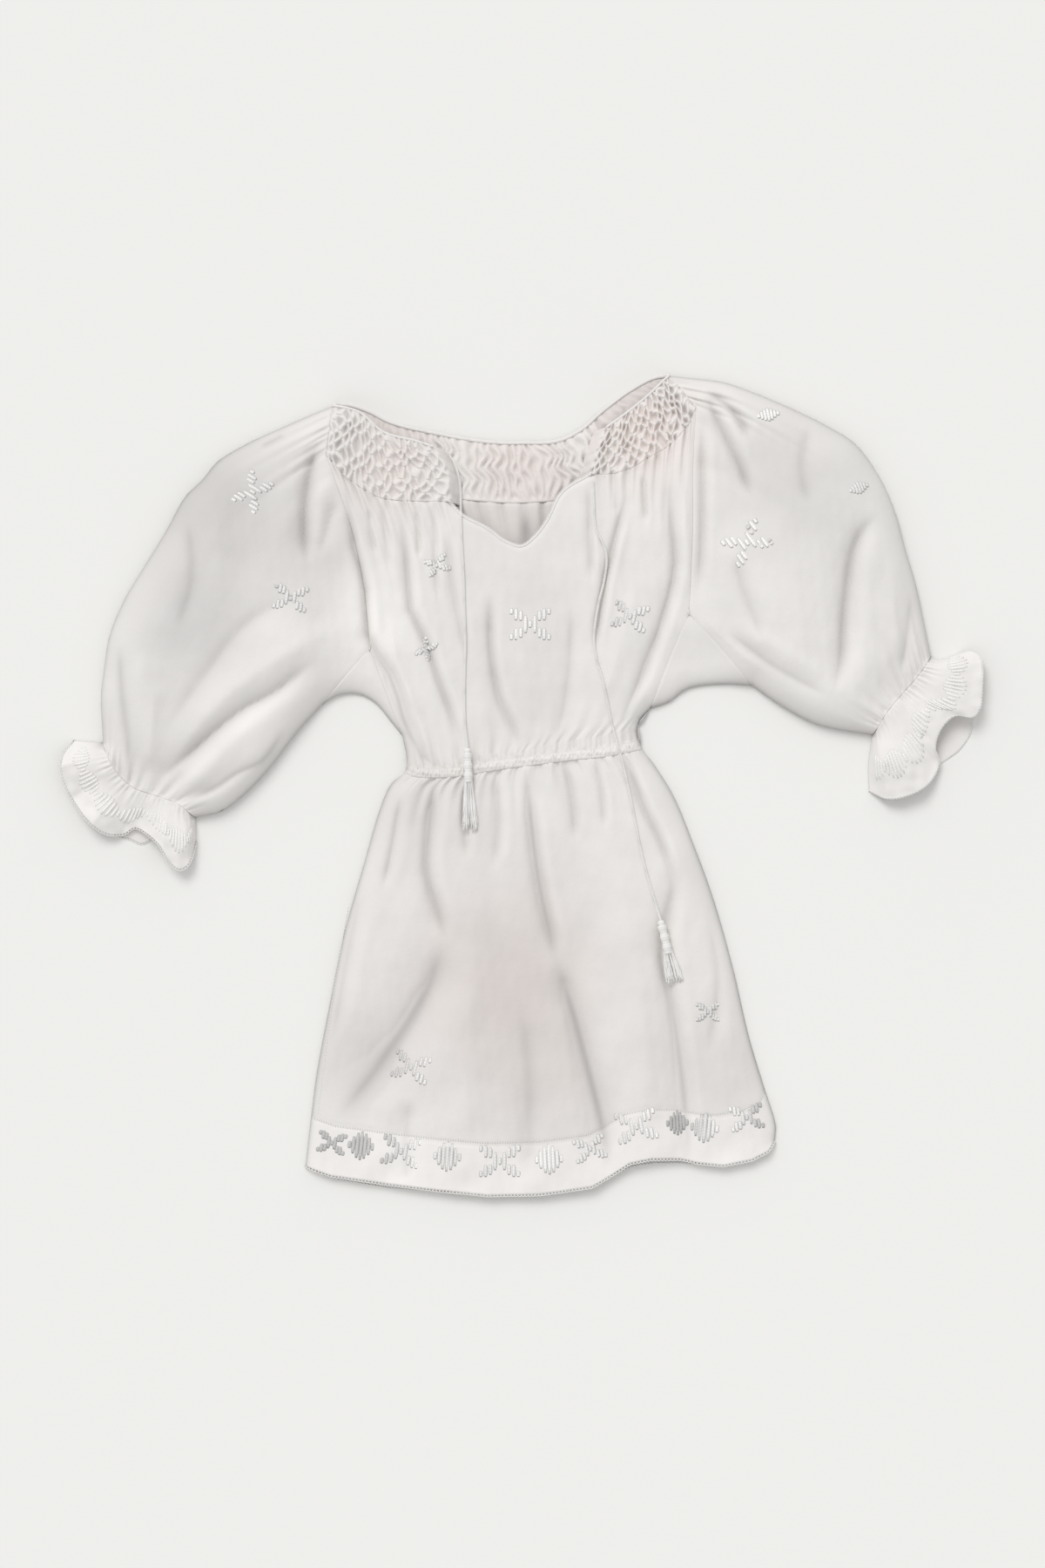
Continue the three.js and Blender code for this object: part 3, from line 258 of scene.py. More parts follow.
# The ties, from where they leave the neck
RIGHT_TIE = [(-79, 350), (-71, 336), (-66, 317), (-65, 291), (-64, 257), (-62, 220), (-61, 184), (-60, 147),
             (-61, 110), (-61, 80), (-60, 58), (-58, 38)]
LEFT_TIE = [(74, 318), (75, 296), (77, 269), (88, 241), (86, 215), (80, 190), (75, 153), (78, 130), (84, 110),
            (94, 63), (104, 27), (110, 2), (115, -22), (127, -81), (139, -123), (145, -143)]
RIGHT_TASSEL = {"from": (-58, 38), "to": (-55, -52), "spread": 8}
LEFT_TASSEL = {"from": (145, -143), "to": (161, -210), "spread": 9}
TIE_DIAMETER = 2.6
TASSEL_HEAD = 9
HEAD_LENGTH = 36
TIE_STEP = 3

# Embroidered figures: kind, x, y, turn in degrees, size, and the thread's painted sheen at its left and
# right, a painted reflection from silver grey to white
BORDER_FIGURES = [
    ("cross", -201, -378, -10, 0.75, 0.62, 0.66), ("lozenge", -170, -381, -6, 0.95, 0.66, 0.70),
    ("cross", -128, -387, -9, 1.05, 0.68, 1.12), ("lozenge", -79, -392, -4, 1.0, 0.98, 0.9),
    ("cross", -24, -397, 0, 1.12, 0.92, 1.0), ("lozenge", 28, -395, 3, 1.0, 1.1, 1.04),
    ("cross", 71, -384, 12, 0.85, 0.98, 0.96), ("cross", 120, -360, 10, 1.1, 0.94, 1.12),
    ("lozenge", 163, -357, 2, 0.8, 0.56, 0.6), ("lozenge", 192, -362, -5, 1.0, 0.72, 1.1),
    ("cross", 236, -351, 8, 0.9, 1.12, 0.6),
]
SINGLE_FIGURES = [
    ("cross", 8, 168, 0, 1.12, 1.1, 1.04), ("cross", 113, 176, -12, 0.95, 0.84, 1.06),
    ("cross", -90, 230, 20, 0.62, 1.0, 1.02), ("cross", -101, 142, 60, 0.55, 0.96, 1.0),
    ("cross", -283, 306, 58, 1.0, 1.08, 1.0), ("cross", -243, 195, -8, 0.9, 0.98, 0.92),
    ("cross", 235, 253, 35, 1.15, 1.12, 1.1), ("spray", 258, 388, 10, 1.0, 1.08, 1.08),
    ("spray", 352, 310, 20, 0.9, 0.95, 0.95), ("cross", -117, -298, -14, 1.0, 0.72, 1.06),
    ("cross", 195, -240, 0, 0.65, 0.86, 0.9),
]


def smooth(t):
    """A share between 0 and 1 with both its ends eased."""
    return t * t * (3 - 2 * t)


def eased(t):
    """The same of any number, held between 0 and 1 first."""
    return smooth(np.clip(t, 0, 1))


def inset(share, pace):
    """Nothing at a seam's two ends, rising to all of it between them."""
    return np.clip(np.minimum(share, 1 - share) * pace, 0, 1)


def both(a, b):
    """Two numbers at each place, as one array."""
    return np.stack(np.broadcast_arrays(a, b), axis=-1)


def unit(v):
    """Each vector over its own length."""
    return v / np.maximum(np.linalg.norm(v, axis=-1, keepdims=True), 1e-9)


def curve(points, n, straight=False):
    """n + 1 places evenly along a centripetal Catmull-Rom curve through the points, or along straight lines.

    Each stretch is a cubic whose end slopes are weighed by the square roots of the distances to its
    neighbours.
    """
    p = np.array(points, float)
    if not straight:
        p = np.vstack([2 * p[0] - p[1], p, 2 * p[-1] - p[-2]])
        p0, p1, p2, p3 = (p[k:len(p) - 3 + k, None] for k in range(4))
        d0, d1, d2 = (np.linalg.norm(b - a, axis=-1, keepdims=True) ** 0.5
                      for a, b in ((p0, p1), (p1, p2), (p2, p3)))
        m1 = ((p1 - p0) / d0 - (p2 - p0) / (d0 + d1) + (p2 - p1) / d1) * d1
        m2 = ((p2 - p1) / d1 - (p3 - p1) / (d1 + d2) + (p3 - p2) / d2) * d1
        t = np.linspace(0, 1, 24, endpoint=False)[None, :, None]
        line = ((2 * t ** 3 - 3 * t ** 2 + 1) * p1 + (t ** 3 - 2 * t ** 2 + t) * m1
                + (3 * t ** 2 - 2 * t ** 3) * p2 + (t ** 3 - t ** 2) * m2).reshape(-1, p.shape[1])
        p = np.vstack([line, p[-2]])
    return spread(p, np.linspace(0, 1, n + 1))


def steps(line):
    """The lengths between a line's places."""
    return np.linalg.norm(np.diff(line, axis=0), axis=1)


def run(line):
    """How far each place of a line lies along it."""
    return np.concatenate([[0], np.cumsum(steps(line))])


def spread(line, shares):
    """Places at those shares of a line's length."""
    line = np.asarray(line, float)
    along = run(line)
    return np.stack([np.interp(shares * along[-1], along, line[:, k]) for k in range(line.shape[1])], axis=1)


def joined(*runs):
    """Several lines end to end."""
    return np.vstack([run if k == 0 else run[1:] for k, run in enumerate(runs)])


def picked(line, shares):
    """Places at those shares of a line's own marks."""
    at = np.asarray(shares) * (len(line) - 1)
    k = np.clip(at.astype(int), 0, len(line) - 2)
    part = (at - k)[:, None]
    return line[k] * (1 - part) + line[k + 1] * part


def paced(line, pitch, least):
    """The middles of a line's even stretches, each about a pitch long, and the line's direction there."""
    n = max(least, int(steps(line).sum() / pitch))
    middle = spread(line, (np.arange(n) + 0.5) / n)
    return middle, unit(np.gradient(middle, axis=0))


def aside(line, by):
    """A line moved sideways: positive moves it to the left of its direction."""
    along = unit(np.gradient(line, axis=0))
    return line + by * both(-along[:, 1], along[:, 0])


def panel(top, bottom, left, right, across, down):
    """A grid between four edges: the two ways across and down, added, less the sheet through the corners."""
    t, b = picked(top, across)[None], picked(bottom, across)[None]
    l, r = picked(left, down)[:, None], picked(right, down)[:, None]
    s, u = np.asarray(across)[None, :, None], np.asarray(down)[:, None, None]
    corners = (1 - u) * ((1 - s) * t[:, :1] + s * t[:, -1:]) + u * ((1 - s) * b[:, :1] + s * b[:, -1:])
    return (1 - u) * t + u * b + (1 - s) * l + s * r - corners


def shares(n, edge=0.0):
    """n + 1 shares from 0 to 1, closer together at both ends as edge nears 1."""
    t = np.linspace(0, 1, n + 1)
    return (1 - edge) * t + edge * (0.5 - 0.5 * np.cos(math.pi * t))


def beside(plan, line):
    """Distance from each plan point to a line, how far along the line it is, and its side, left positive."""
    p = plan.reshape(-1, 2)
    far, along, side = np.full(len(p), np.inf), np.zeros(len(p)), np.ones(len(p))
    for k, (a, b) in enumerate(zip(line[:-1], line[1:])):
        d = b - a
        t = np.clip(((p - a) @ d) / (d @ d), 0, 1)
        off = p - a - t[:, None] * d
        r = np.hypot(off[:, 0], off[:, 1])
        near = r < far
        far[near] = r[near]
        along[near] = (k + t[near]) / (len(line) - 1)
        side[near] = np.sign(d[0] * off[near, 1] - d[1] * off[near, 0])
    shape = plan.shape[:-1]
    return far.reshape(shape), along.reshape(shape), side.reshape(shape)


def folded_edges():
    """The lines where the front turns down to meet the back."""
    edges = []
    for side in (RIGHT, LEFT):
        edges.append(joined(curve(side["skirt"], 40)[::-1], curve(side["side"], 6)[::-1],
                            curve(side["gusset_fold"], 12), curve(side["sleeve_under"], 16)))
        edges.append(curve(side["sleeve_top"], 40))
    return edges


FOLDED_EDGES = folded_edges()
CREASE_LINES = [curve(crease.line, 14) for crease in CREASES]


def crumple(plan, size, seed, stretch=1.0):
    """Soft unevenness between about -1 and 1: a sum of nine waves in random directions."""
    rng = np.random.default_rng(seed)
    total = 0
    waves = [rng.uniform(low, high, 9) for low, high in ((0, math.pi), (0, TAU), (0.6, 1.7))]
    for turn, phase, pace in zip(*waves):
        total = total + np.sin(TAU * pace * (plan[..., 0] * math.cos(turn)
                                             + plan[..., 1] * math.sin(turn) / stretch) / size + phase)
    return total / 3


def bell(plan, x, y, reach):
    """One at its place of the plan, fading round it."""
    return np.exp(-((plan[..., 0] - x) ** 2 + (plan[..., 1] - y) ** 2) / reach ** 2)


def draped(plan, creased=True):
    """Height of the front over the plan, and its shade: how light and how blushing it is.

    A loft blended from places by bell weights, brought down at the folded edges in a quarter ellipse,
    with each crease added as a bell across its line, sharpened at its bottom, and a lower bell beside it.
    Painted shade darkens the patches, the crease bottoms and the turned edges, and a painted highlight
    lightens the ridge beside each crease.
    """
    weight = loft = 0
    for x, y, height, reach in LOFT:
        w = bell(plan, x, y, reach) + 1e-9
        weight, loft = weight + w, loft + w * height
    loft = loft / weight
    far = np.minimum.reduce([beside(plan, edge)[0] for edge in FOLDED_EDGES])
    q = np.clip(far / (ROUNDING_LEAST + ROUNDING_PER_HEIGHT * loft), 0, 1)
    rise = np.sqrt(1 - (1 - q) ** 2)
    height = FRONT_Z + (loft - FRONT_Z) * rise
    # painted shade along the turned edges
    light = 1 - 0.34 * np.exp(-(far / 2.2) ** 1.2) - 0.05 * np.exp(-(far / 14) ** 2)
    blush = np.zeros_like(light)
    # painted shade patches, painted light where less light is negative, and their pinkish tint
    for x, y, reach, less, more in PAINTED_SHADE_PATCHES:
        w = bell(plan, x, y, reach)
        light, blush = light - less * w, blush + more * w
    if not creased:
        return height, both(light, blush)
    low, high = plan.reshape(-1, 2).min(axis=0), plan.reshape(-1, 2).max(axis=0)
    for crease, line in zip(CREASES, CREASE_LINES):
        margin = 4 * crease.width
        if (line.min(axis=0) > high + margin).any() or (line.max(axis=0) < low - margin).any():
            continue
        away, along, side = beside(plan, line)
        taper = eased(4 * along) * eased(4 * (1 - along) + 0.15)
        sharp = np.exp(-(away / (0.28 * crease.width + 1.1)) ** 1.4)
        keen = 0.45 * sharp if crease.height < 0 else 0
        fall = crease.height * (np.exp(-(away / crease.width) ** 1.5) + keen)
        bank = crease.bank * np.exp(-((side * away - 1.7 * crease.width) / crease.width) ** 2)
        height = height + (fall + bank) * taper * smooth(q)
        # painted shade at each crease's bottom and a painted highlight on its ridge
        light = light + (0.034 * min(crease.height, 0) * sharp + 0.012 * np.maximum(bank, 0)) * taper
    height = height + 0.45 * crumple(plan, 46, 3, 1.8) * q + 0.22 * crumple(plan, 19, 5, 1.6) * q
    light = light + 0.012 * crumple(plan, 70, 7)
    height = np.maximum(height, FRONT_Z + (np.minimum(loft, TROUGH_Z) - FRONT_Z) * rise)
    return height, both(light, blush)


def pleats(along, away, length, pitch, height, reach, seed, drift=0.0):
    """Uneven pleats drawn up at a seam: narrow valleys that widen and fade away from it.

    Each is a bell across its own place on the seam, times a bell of the distance from the seam. The seam
    itself holds them nearly flat.
    """
    rng = np.random.default_rng(seed)
    n = max(2, int(length / pitch))
    places = np.cumsum(rng.uniform(0.55, 1.45, n))
    places *= length / places[-1]
    total = 0.3 * height * np.exp(-(away / reach) ** 2)
    for place, deep, far, lean, wide in zip(places, rng.uniform(0.35, 1, n), rng.uniform(0.4, 1.25, n),
                                            rng.normal(0, drift, n), rng.uniform(0.75, 1.25, n)):
        width = 0.3 * pitch * wide * (1 + away / (2.2 * reach))
        total = total - height * deep * np.exp(-((along - place - lean * away) / width) ** 2
                                               - (away / (reach * far)) ** 1.6)
    return total * np.clip(0.15 + away / 5, 0, 1)


def painted_fold_shade(shade, rise, depth):
    """Painted shade made darker where folds fall, by so much for each millimetre."""
    return shade + both(depth * np.minimum(rise, 0), 0)


def measured(plan):
    """How far each point of a grid lies along its own row and down its own column."""
    across = np.linalg.norm(np.diff(plan, axis=1, prepend=plan[:, :1]), axis=-1).cumsum(axis=1)
    down = np.linalg.norm(np.diff(plan, axis=0, prepend=plan[:1]), axis=-1).cumsum(axis=0)
    return across, down


def at_height(plan, z):
    """Plan places lifted to a height."""
    return np.concatenate([plan, np.broadcast_to(z, plan.shape[:-1])[..., None]], axis=-1)


class Relief:
    """The highest cloth over each square millimetre of the plan, for what lies on it."""
    LOW, CELLS = np.array([-500, -460]), (1000, 920)

    def __init__(self):
        self.z = np.zeros(self.CELLS)

    def lay(self, grid):
        """Spreads each quad's corners evenly over it and keeps the highest in each cell."""
        step = 4
        for a in np.arange(step) / step:
            for b in np.arange(step) / step:
                p = ((1 - a) * (1 - b) * grid[:-1, :-1] + (1 - a) * b * grid[:-1, 1:]
                     + a * (1 - b) * grid[1:, :-1] + a * b * grid[1:, 1:]).reshape(-1, 3)
                cell = np.clip((p[:, :2] - self.LOW).astype(int), 0, np.array(self.CELLS) - 1)
                np.maximum.at(self.z, (cell[:, 0], cell[:, 1]), p[:, 2])

    def at(self, plan):
        """Height between the four nearest cell middles."""
        f = np.clip(np.asarray(plan, float) - self.LOW - 0.5, 0, np.array(self.CELLS) - 1.001)
        k = f.astype(int)
        t = f - k
        i, j = k[..., 0], k[..., 1]
        u, v = t[..., 0], t[..., 1]
        return ((1 - u) * (1 - v) * self.z[i, j] + u * (1 - v) * self.z[i + 1, j]
                + (1 - u) * v * self.z[i, j + 1] + u * v * self.z[i + 1, j + 1])

    def top(self, plan, reach):
        """The highest of the places within reach."""
        turns = np.arange(12) * TAU / 12
        ring = [(0, 0)]
        for far in (reach * 0.5, reach):
            ring += [(far * math.cos(a), far * math.sin(a)) for a in turns]
        return np.max([self.at(plan + np.array(offset)) for offset in ring], axis=0)


relief = Relief()


class Value:
    """A number that varies over a surface, on which Python's arithmetic adds Math nodes."""

    def __init__(self, graph, socket):
        self.graph, self.socket = graph, socket

    def math(self, operation, *others):
        return self.graph.add("ShaderNodeMath", {"operation": operation}, {
            k: value for k, value in enumerate((self,) + others)})

    def __add__(self, other):
        return self.math("ADD", other)

    def __mul__(self, other):
        return self.math("MULTIPLY", other)

    def __sub__(self, other):
        return self.math("SUBTRACT", other)

    def __rsub__(self, other):
        return self.graph.add("ShaderNodeMath", {"operation": "SUBTRACT"}, {0: other, 1: self})

    def __pow__(self, other):
        return self.math("POWER", other)

    __radd__ = __add__
    __rmul__ = __mul__


class Finish:
    """A material's node graph."""

    def __init__(self, name):
        self.material = bpy.data.materials.new(name)
        self.material.use_nodes = True
        self.tree = self.material.node_tree
        self.shader = next(n for n in self.tree.nodes if n.type == "BSDF_PRINCIPLED")

    def add(self, kind, settings=None, inputs=None, output=0):
        """A node of that kind with its settings, and its sockets' values or links."""
        node = self.tree.nodes.new(kind)
        for key, value in (settings or {}).items():
            setattr(node, key, value)
        for key, value in (inputs or {}).items():
            self.feed(node.inputs[key], value)
        return Value(self, node.outputs[output])

    def feed(self, socket, value):
        if isinstance(value, Value):
            self.tree.links.new(value.socket, socket)
        else:
            socket.default_value = value

    def mix(self, factor, first, second):
        """One colour turning into another."""
        node = self.tree.nodes.new("ShaderNodeMix")
        node.data_type = "RGBA"
        for key, value in ((0, factor), (6, first), (7, second)):
            self.feed(node.inputs[key], value)
        return Value(self, node.outputs[2])

    def place(self):
        return self.add("ShaderNodeTexCoord", output="Object")

    def noise(self, scale, detail=2.0, roughness=0.5):
        return self.add("ShaderNodeTexNoise", None, {
            "Vector": self.place(), "Scale": scale, "Detail": detail, "Roughness": roughness})

    def parts(self, vector):
        """A vector's three numbers."""
        node = self.add("ShaderNodeSeparateXYZ", None, {0: vector}).socket.node
        return [Value(self, output) for output in node.outputs]

    def shade(self):
        """The piece's painted light and shade, and its blush, at each place."""
        return self.parts(self.add("ShaderNodeAttribute", {"attribute_name": "shade"}, output=1))[:2]

    def scaled(self, tint, light):
        """A colour made lighter or darker."""
        return self.add("ShaderNodeVectorMath", {"operation": "SCALE"}, {0: tint, "Scale": light})

    def set(self, **inputs):
        for key, value in inputs.items():
            self.feed(self.shader.inputs[key.replace("_", " ")], value)

    def bump(self, height, strength, distance, normal=None):
        inputs = {"Height": height, "Strength": strength, "Distance": distance}
        if normal:
            inputs["Normal"] = normal
        return self.add("ShaderNodeBump", None, inputs)


def colour(rgb, scale=1.0):
    return (*(scale * c for c in rgb), 1.0)


def sizes():
    return bpy.context.scene.dress_sizes


def colours():
    return bpy.context.scene.dress_colours


def cotton_finish(name, tone=1.0, blush=0.3):
    """Plain-woven lawn: crossed threads, thicker ones here and there, and a faint uneven blush; painted shade
    between the threads, and the piece's painted light and shade.
    """
    f = Finish(name)
    base, shade = colours().cotton, colours().blush
    weave = 1 / (sizes().weave * MM)
    light, pink = f.shade()
    uv = f.add("ShaderNodeUVMap", {"uv_map": "cloth"})
    u, v = f.parts(uv)[:2]
    warp = (u * (TAU * weave)).math("SINE")
    weft = (v * (TAU * weave)).math("SINE")
    slub = f.add("ShaderNodeTexNoise", None, {
        "Vector": f.add("ShaderNodeVectorMath", {"operation": "MULTIPLY"}, {0: uv, 1: (420, 60, 1)}),
        "Scale": 1.0, "Detail": 2.0})
    threads = (warp * weft * 0.5 + 0.5) * 0.6 + slub * 0.8
    soft = f.noise(120, 3.0, 0.55)
    wide = f.noise(14, 2.0)
    tint = f.mix((wide - 0.4) * blush + pink, colour(base, tone), colour(shade, tone))
    # painted shade between the threads
    tint = f.mix((1 - threads) * 0.14, tint, colour(shade, 0.86 * tone))
    # the piece's painted light and shade
    tint = f.scaled(tint, light)
    normal = f.bump(soft, 0.35, 0.0012)
    normal = f.bump(threads, 0.3, 0.00012, normal)
    f.set(Base_Color=tint, Roughness=0.78 + 0.1 * soft, Normal=normal, Sheen_Weight=0.2, Sheen_Roughness=0.5,
          Specular_IOR_Level=0.25)
    return f.material


def thread_finish(name, pitch=0.9, gloss=0.42, step=3.1):
    """Mercerised thread: fine strands side by side along each stitch, dimpled where a row of stitches ends.

    Its colour is scaled by each stitch's painted sheen, a painted reflection from silver grey to white, with
    painted shade between the strands and in the dimples.
    """
    f = Finish(name)
    light = f.shade()[0]
    along, across = f.parts(f.add("ShaderNodeUVMap", {"uv_map": "cloth"}))[:2]
    strands = (across * (TAU * 1000 / pitch)).math("SINE") * 0.5 + 0.5
    rows = ((along * (TAU * 1000 / step)).math("COSINE") * 0.5 + 0.5) ** 6
    fuzz = f.noise(900, 2.0)
    # painted shade between the strands, with a random fuzz
    tone = f.mix(strands * 0.5 + fuzz * 0.3, colour(colours().thread, 0.9), colour(colours().thread))
    # painted shade in the dimples, and each stitch's painted sheen
    tone = f.scaled(f.mix(rows * 0.3, tone, colour(colours().thread, 0.7)), light)
    normal = f.bump(strands + fuzz * 0.4 - rows * 2.0, 0.5, 0.0002)
    f.set(Base_Color=tone, Roughness=gloss + 0.15 * fuzz, Normal=normal, Sheen_Weight=0.2,
          Specular_IOR_Level=0.45)
    return f.material


def floor_finish():
    """Matt paper, faintly mottled."""
    f = Finish("pale_paper")
    mottle = f.noise(3, 2.0)
    f.set(Base_Color=f.mix(mottle, colour(colours().floor), colour(colours().floor, 0.99)), Roughness=0.95,
          Specular_IOR_Level=0.1)
    return f.material


MATERIALS = {}


def finish(name):
    """The material of that name, made at its first use."""
    if name not in MATERIALS:
        makers = {
            "cotton": lambda: cotton_finish("cotton_lawn"),
            # a darker copy of the lawn with more blush: painted shade for the inside seen through the slit
            "lining": lambda: cotton_finish("cotton_lawn_inside_shaded", 0.95, 0.6),
            "smocking": lambda: cotton_finish("smocked_lawn", 1.0, 0.4),
            "border": lambda: cotton_finish("doubled_lawn", 1.03, 0.1),
            "thread": lambda: thread_finish("satin_thread"),
            "cord": lambda: thread_finish("twisted_yarn", 0.5, 0.6, 40.0),
        }
        MATERIALS[name] = makers[name]()
    return MATERIALS[name]


def quads(rows, columns, closed=False):
    """Corner indices of a grid's quads; a closed grid's last column meets its first."""
    i, j = np.meshgrid(np.arange(rows - 1), np.arange(columns if closed else columns - 1), indexing="ij")
    k = (j + 1) % columns
    return np.stack([i * columns + j, i * columns + k, (i + 1) * columns + k, (i + 1) * columns + j],
                    axis=-1).reshape(-1, 4)


def cap(sides):
    """Corner indices of the quads that close a ring with that many sides."""
    return np.array([[k, k + 1, sides - 2 - k, sides - 1 - k] for k in range(sides // 2 - 1)])


def new_mesh(name, points, faces, uv, material, shade=None):
    """A mesh object at the origin from whole arrays: points in millimetres, quads, and a place on the cloth.

    shade holds each point's painted light and shade, and its blush.
    """
    mesh = bpy.data.meshes.new(name)
    points = np.asarray(points, np.float32).reshape(-1, 3) * MM
    mesh.vertices.add(len(points))
    mesh.vertices.foreach_set("co", points.ravel())
    mesh.loops.add(faces.size)
    mesh.loops.foreach_set("vertex_index", faces.astype(np.int32).ravel())
    mesh.polygons.add(len(faces))
    mesh.polygons.foreach_set("loop_start", np.arange(0, faces.size, faces.shape[1], dtype=np.int32))
    mesh.update(calc_edges=True)
    layer = mesh.uv_layers.new(name="cloth")
    layer.data.foreach_set("uv", (uv * MM).astype(np.float32).ravel())
    tint = np.zeros((len(points), 3), np.float32)
    tint[:, :2] = (1, 0) if shade is None else np.asarray(shade, np.float32).reshape(-1, 2)
    mesh.attributes.new("shade", "FLOAT_VECTOR", "POINT").data.foreach_set("vector", tint.ravel())
    mesh.shade_smooth()
    mesh.materials.append(finish(material))
    piece = bpy.data.objects.new(name, mesh)
    bpy.context.scene.collection.objects.link(piece)
    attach(piece, "root")
    return piece


def cloth(name, grid, material, closed=False, shade=None):
    """A sheet through a grid of points, given a wall below or inside it."""
    rows, columns = grid.shape[:2]
    faces = quads(rows, columns, closed)
    ring = np.concatenate([grid, grid[:, :1]], axis=1) if closed else grid
    across, down = measured(ring)
    uv = both(across, down).reshape(-1, 2)
    corner = quads(rows, ring.shape[1])
    low = grid[:, :max(2, columns // 2)] if closed else grid[2:max(5, rows // 3)]
    normal = np.cross(low[1:, :-1] - low[:-1, :-1], low[:-1, 1:] - low[:-1, :-1])[..., 2].sum()
    if normal > 0:
        faces, corner = faces[:, ::-1], corner[:, ::-1]
    piece = new_mesh(name, grid, faces, uv[corner.ravel()], material, shade)
    solid = piece.modifiers.new("wall", "SOLIDIFY")
    solid.thickness = sizes().cloth * MM
    solid.offset = -1
    solid.use_even_offset = False
    return piece


def strands(name, paths, width, height, sides, material, taper=None, half=False, light=1.0):
    """Closed tubes along many paths at once: an ellipse, or its upper half, set square to each path.

    paths is strand by place by x, y, z. taper scales the section at each place. sides is even.
    light scales each strand's colour with painted shade or painted sheen.
    """
    paths = np.asarray(paths, float)
    count, places = paths.shape[:2]
    tangent = unit(np.gradient(paths, axis=1))
    side = unit(np.cross(np.array([0, 0, 1.0]), tangent) + 1e-6)
    up = np.cross(tangent, side)
    turn = np.linspace(0, math.pi, sides) if half else np.arange(sides) * TAU / sides
    section = both(np.cos(turn), np.sin(turn))
    taper = np.ones(places) if taper is None else np.asarray(taper, float)
    w = np.broadcast_to(width, (count,))[:, None, None] / 2 * taper[None, :, None] * section[:, 0]
    h = np.broadcast_to(height, (count,))[:, None, None] * (1 if half else 0.5)
    h = h * taper[None, :, None] * section[:, 1]
    points = paths[:, :, None] + side[:, :, None] * w[..., None] + up[:, :, None] * h[..., None]
    faces = [quads(places, sides, closed=True), cap(sides)[:, ::-1], cap(sides) + (places - 1) * sides]
    faces = np.concatenate(faces)
    faces = (faces[None] + (np.arange(count) * places * sides)[:, None, None]).reshape(-1, 4)
    along = np.linalg.norm(np.diff(paths, axis=1, prepend=paths[:, :1]), axis=-1).cumsum(axis=1)
    uv = both(along[:, :, None], w).reshape(-1, 2)
    light = np.broadcast_to(np.reshape(light, (-1, 1, 1)), w.shape)
    return new_mesh(name, points, faces, uv[faces.ravel()], material, both(light, 0))


def on_grid(grid, across, down):
    """Places on a grid of points at shares of its rows and columns."""
    rows, columns = grid.shape[:2]
    a = np.clip(np.asarray(across) * (columns - 1), 0, columns - 1.001)
    d = np.clip(np.asarray(down) * (rows - 1), 0, rows - 1.001)
    j, i = a.astype(int), d.astype(int)
    s, u = (a - j)[..., None], (d - i)[..., None]
    return ((1 - u) * ((1 - s) * grid[i, j] + s * grid[i, j + 1])
            + u * ((1 - s) * grid[i + 1, j] + s * grid[i + 1, j + 1]))


def wrapped(front, back):
    """Front and back grids that share both side edges, as one grid that goes right round."""
    return np.concatenate([front, back[:, -2:0:-1]], axis=1)


# Seams and rows that several panels share
SKIRT_DOWN = shares(136, 0.35)
WAIST_LINE = curve(WAIST, MARKS["waist"] * SAMPLES)
TOWARDS_NECK = aside(WAIST_LINE, CASING_WIDTH / 2)
TOWARDS_HEM = aside(WAIST_LINE, -CASING_WIDTH / 2)
NECKLINE = joined(curve(RIGHT["yoke_foot"], MARKS["yoke"] * SAMPLES), curve(SLIT, MARKS["slit"] * SAMPLES),
                  curve(LEFT["yoke_foot"], MARKS["yoke"] * SAMPLES)[::-1])
HEM_CORNERS = np.array([RIGHT["skirt"][-1], LEFT["skirt"][-1]], float)


def bodice_edge(side, corner):
    """From the yoke's foot down the armhole, along the gusset and down the side to the waist."""
    last = curve(side["side"], MARKS["side"])
    last[-1] = corner
    return joined(curve(side["armhole"], MARKS["armhole"] * SAMPLES),
                  curve(side["gusset_bodice"], MARKS["gusset"] * SAMPLES, True),
                  picked(last, np.linspace(0, 1, MARKS["side"] * SAMPLES + 1)))


def skirt_edge(side, corner):
    """The skirt's folded side, eased at its top to meet the waist's corner."""
    line = curve(side["skirt"], 200)
    return line + (corner - line[0]) * (1 - eased(np.linspace(0, 20, 201)))[:, None]


def hem_line(layer, n=360):
    """The line between the hem's corners, less its sag; layer 1 is the front and 2 the back."""
    share = np.linspace(0, 1, n + 1)
    line = HEM_CORNERS[0] + (HEM_CORNERS[1] - HEM_CORNERS[0]) * share[:, None]
    line[:, 1] -= np.interp(share, HEM_SAG[:, 0], HEM_SAG[:, layer])
    return line


def head_line(side):
    """The sleeve's head: shoulder, armhole and gusset."""
    return joined(curve(side["shoulder"], MARKS["shoulder"] * SAMPLES, True),
                  curve(side["armhole"], MARKS["armhole"] * SAMPLES),
                  curve(side["gusset_sleeve"], MARKS["gusset"] * SAMPLES, True))


def sunk(plan, line, depth, width):
    """A bell-shaped groove along a seam."""
    return -depth * np.exp(-(beside(plan, line)[0] / width) ** 2)


def underside(front, top, bottom, edges, across, down):
    """The flat back of a tube, joined to its front along both folds."""
    back = at_height(panel(top, bottom, *edges, np.linspace(0, 1, across), down), UNDER_Z)
    back[:, 0], back[:, -1] = front[:, 0], front[:, -1]
    return back


def seamed(z, plan, side, gusset):
    """Heights drawn in along the armhole and the gusset."""
    z = z + sunk(plan, curve(side["armhole"], 30), 0.9, 2.2)
    return z + sunk(plan, curve(side[gusset], 4, True), 0.6, 2.2)


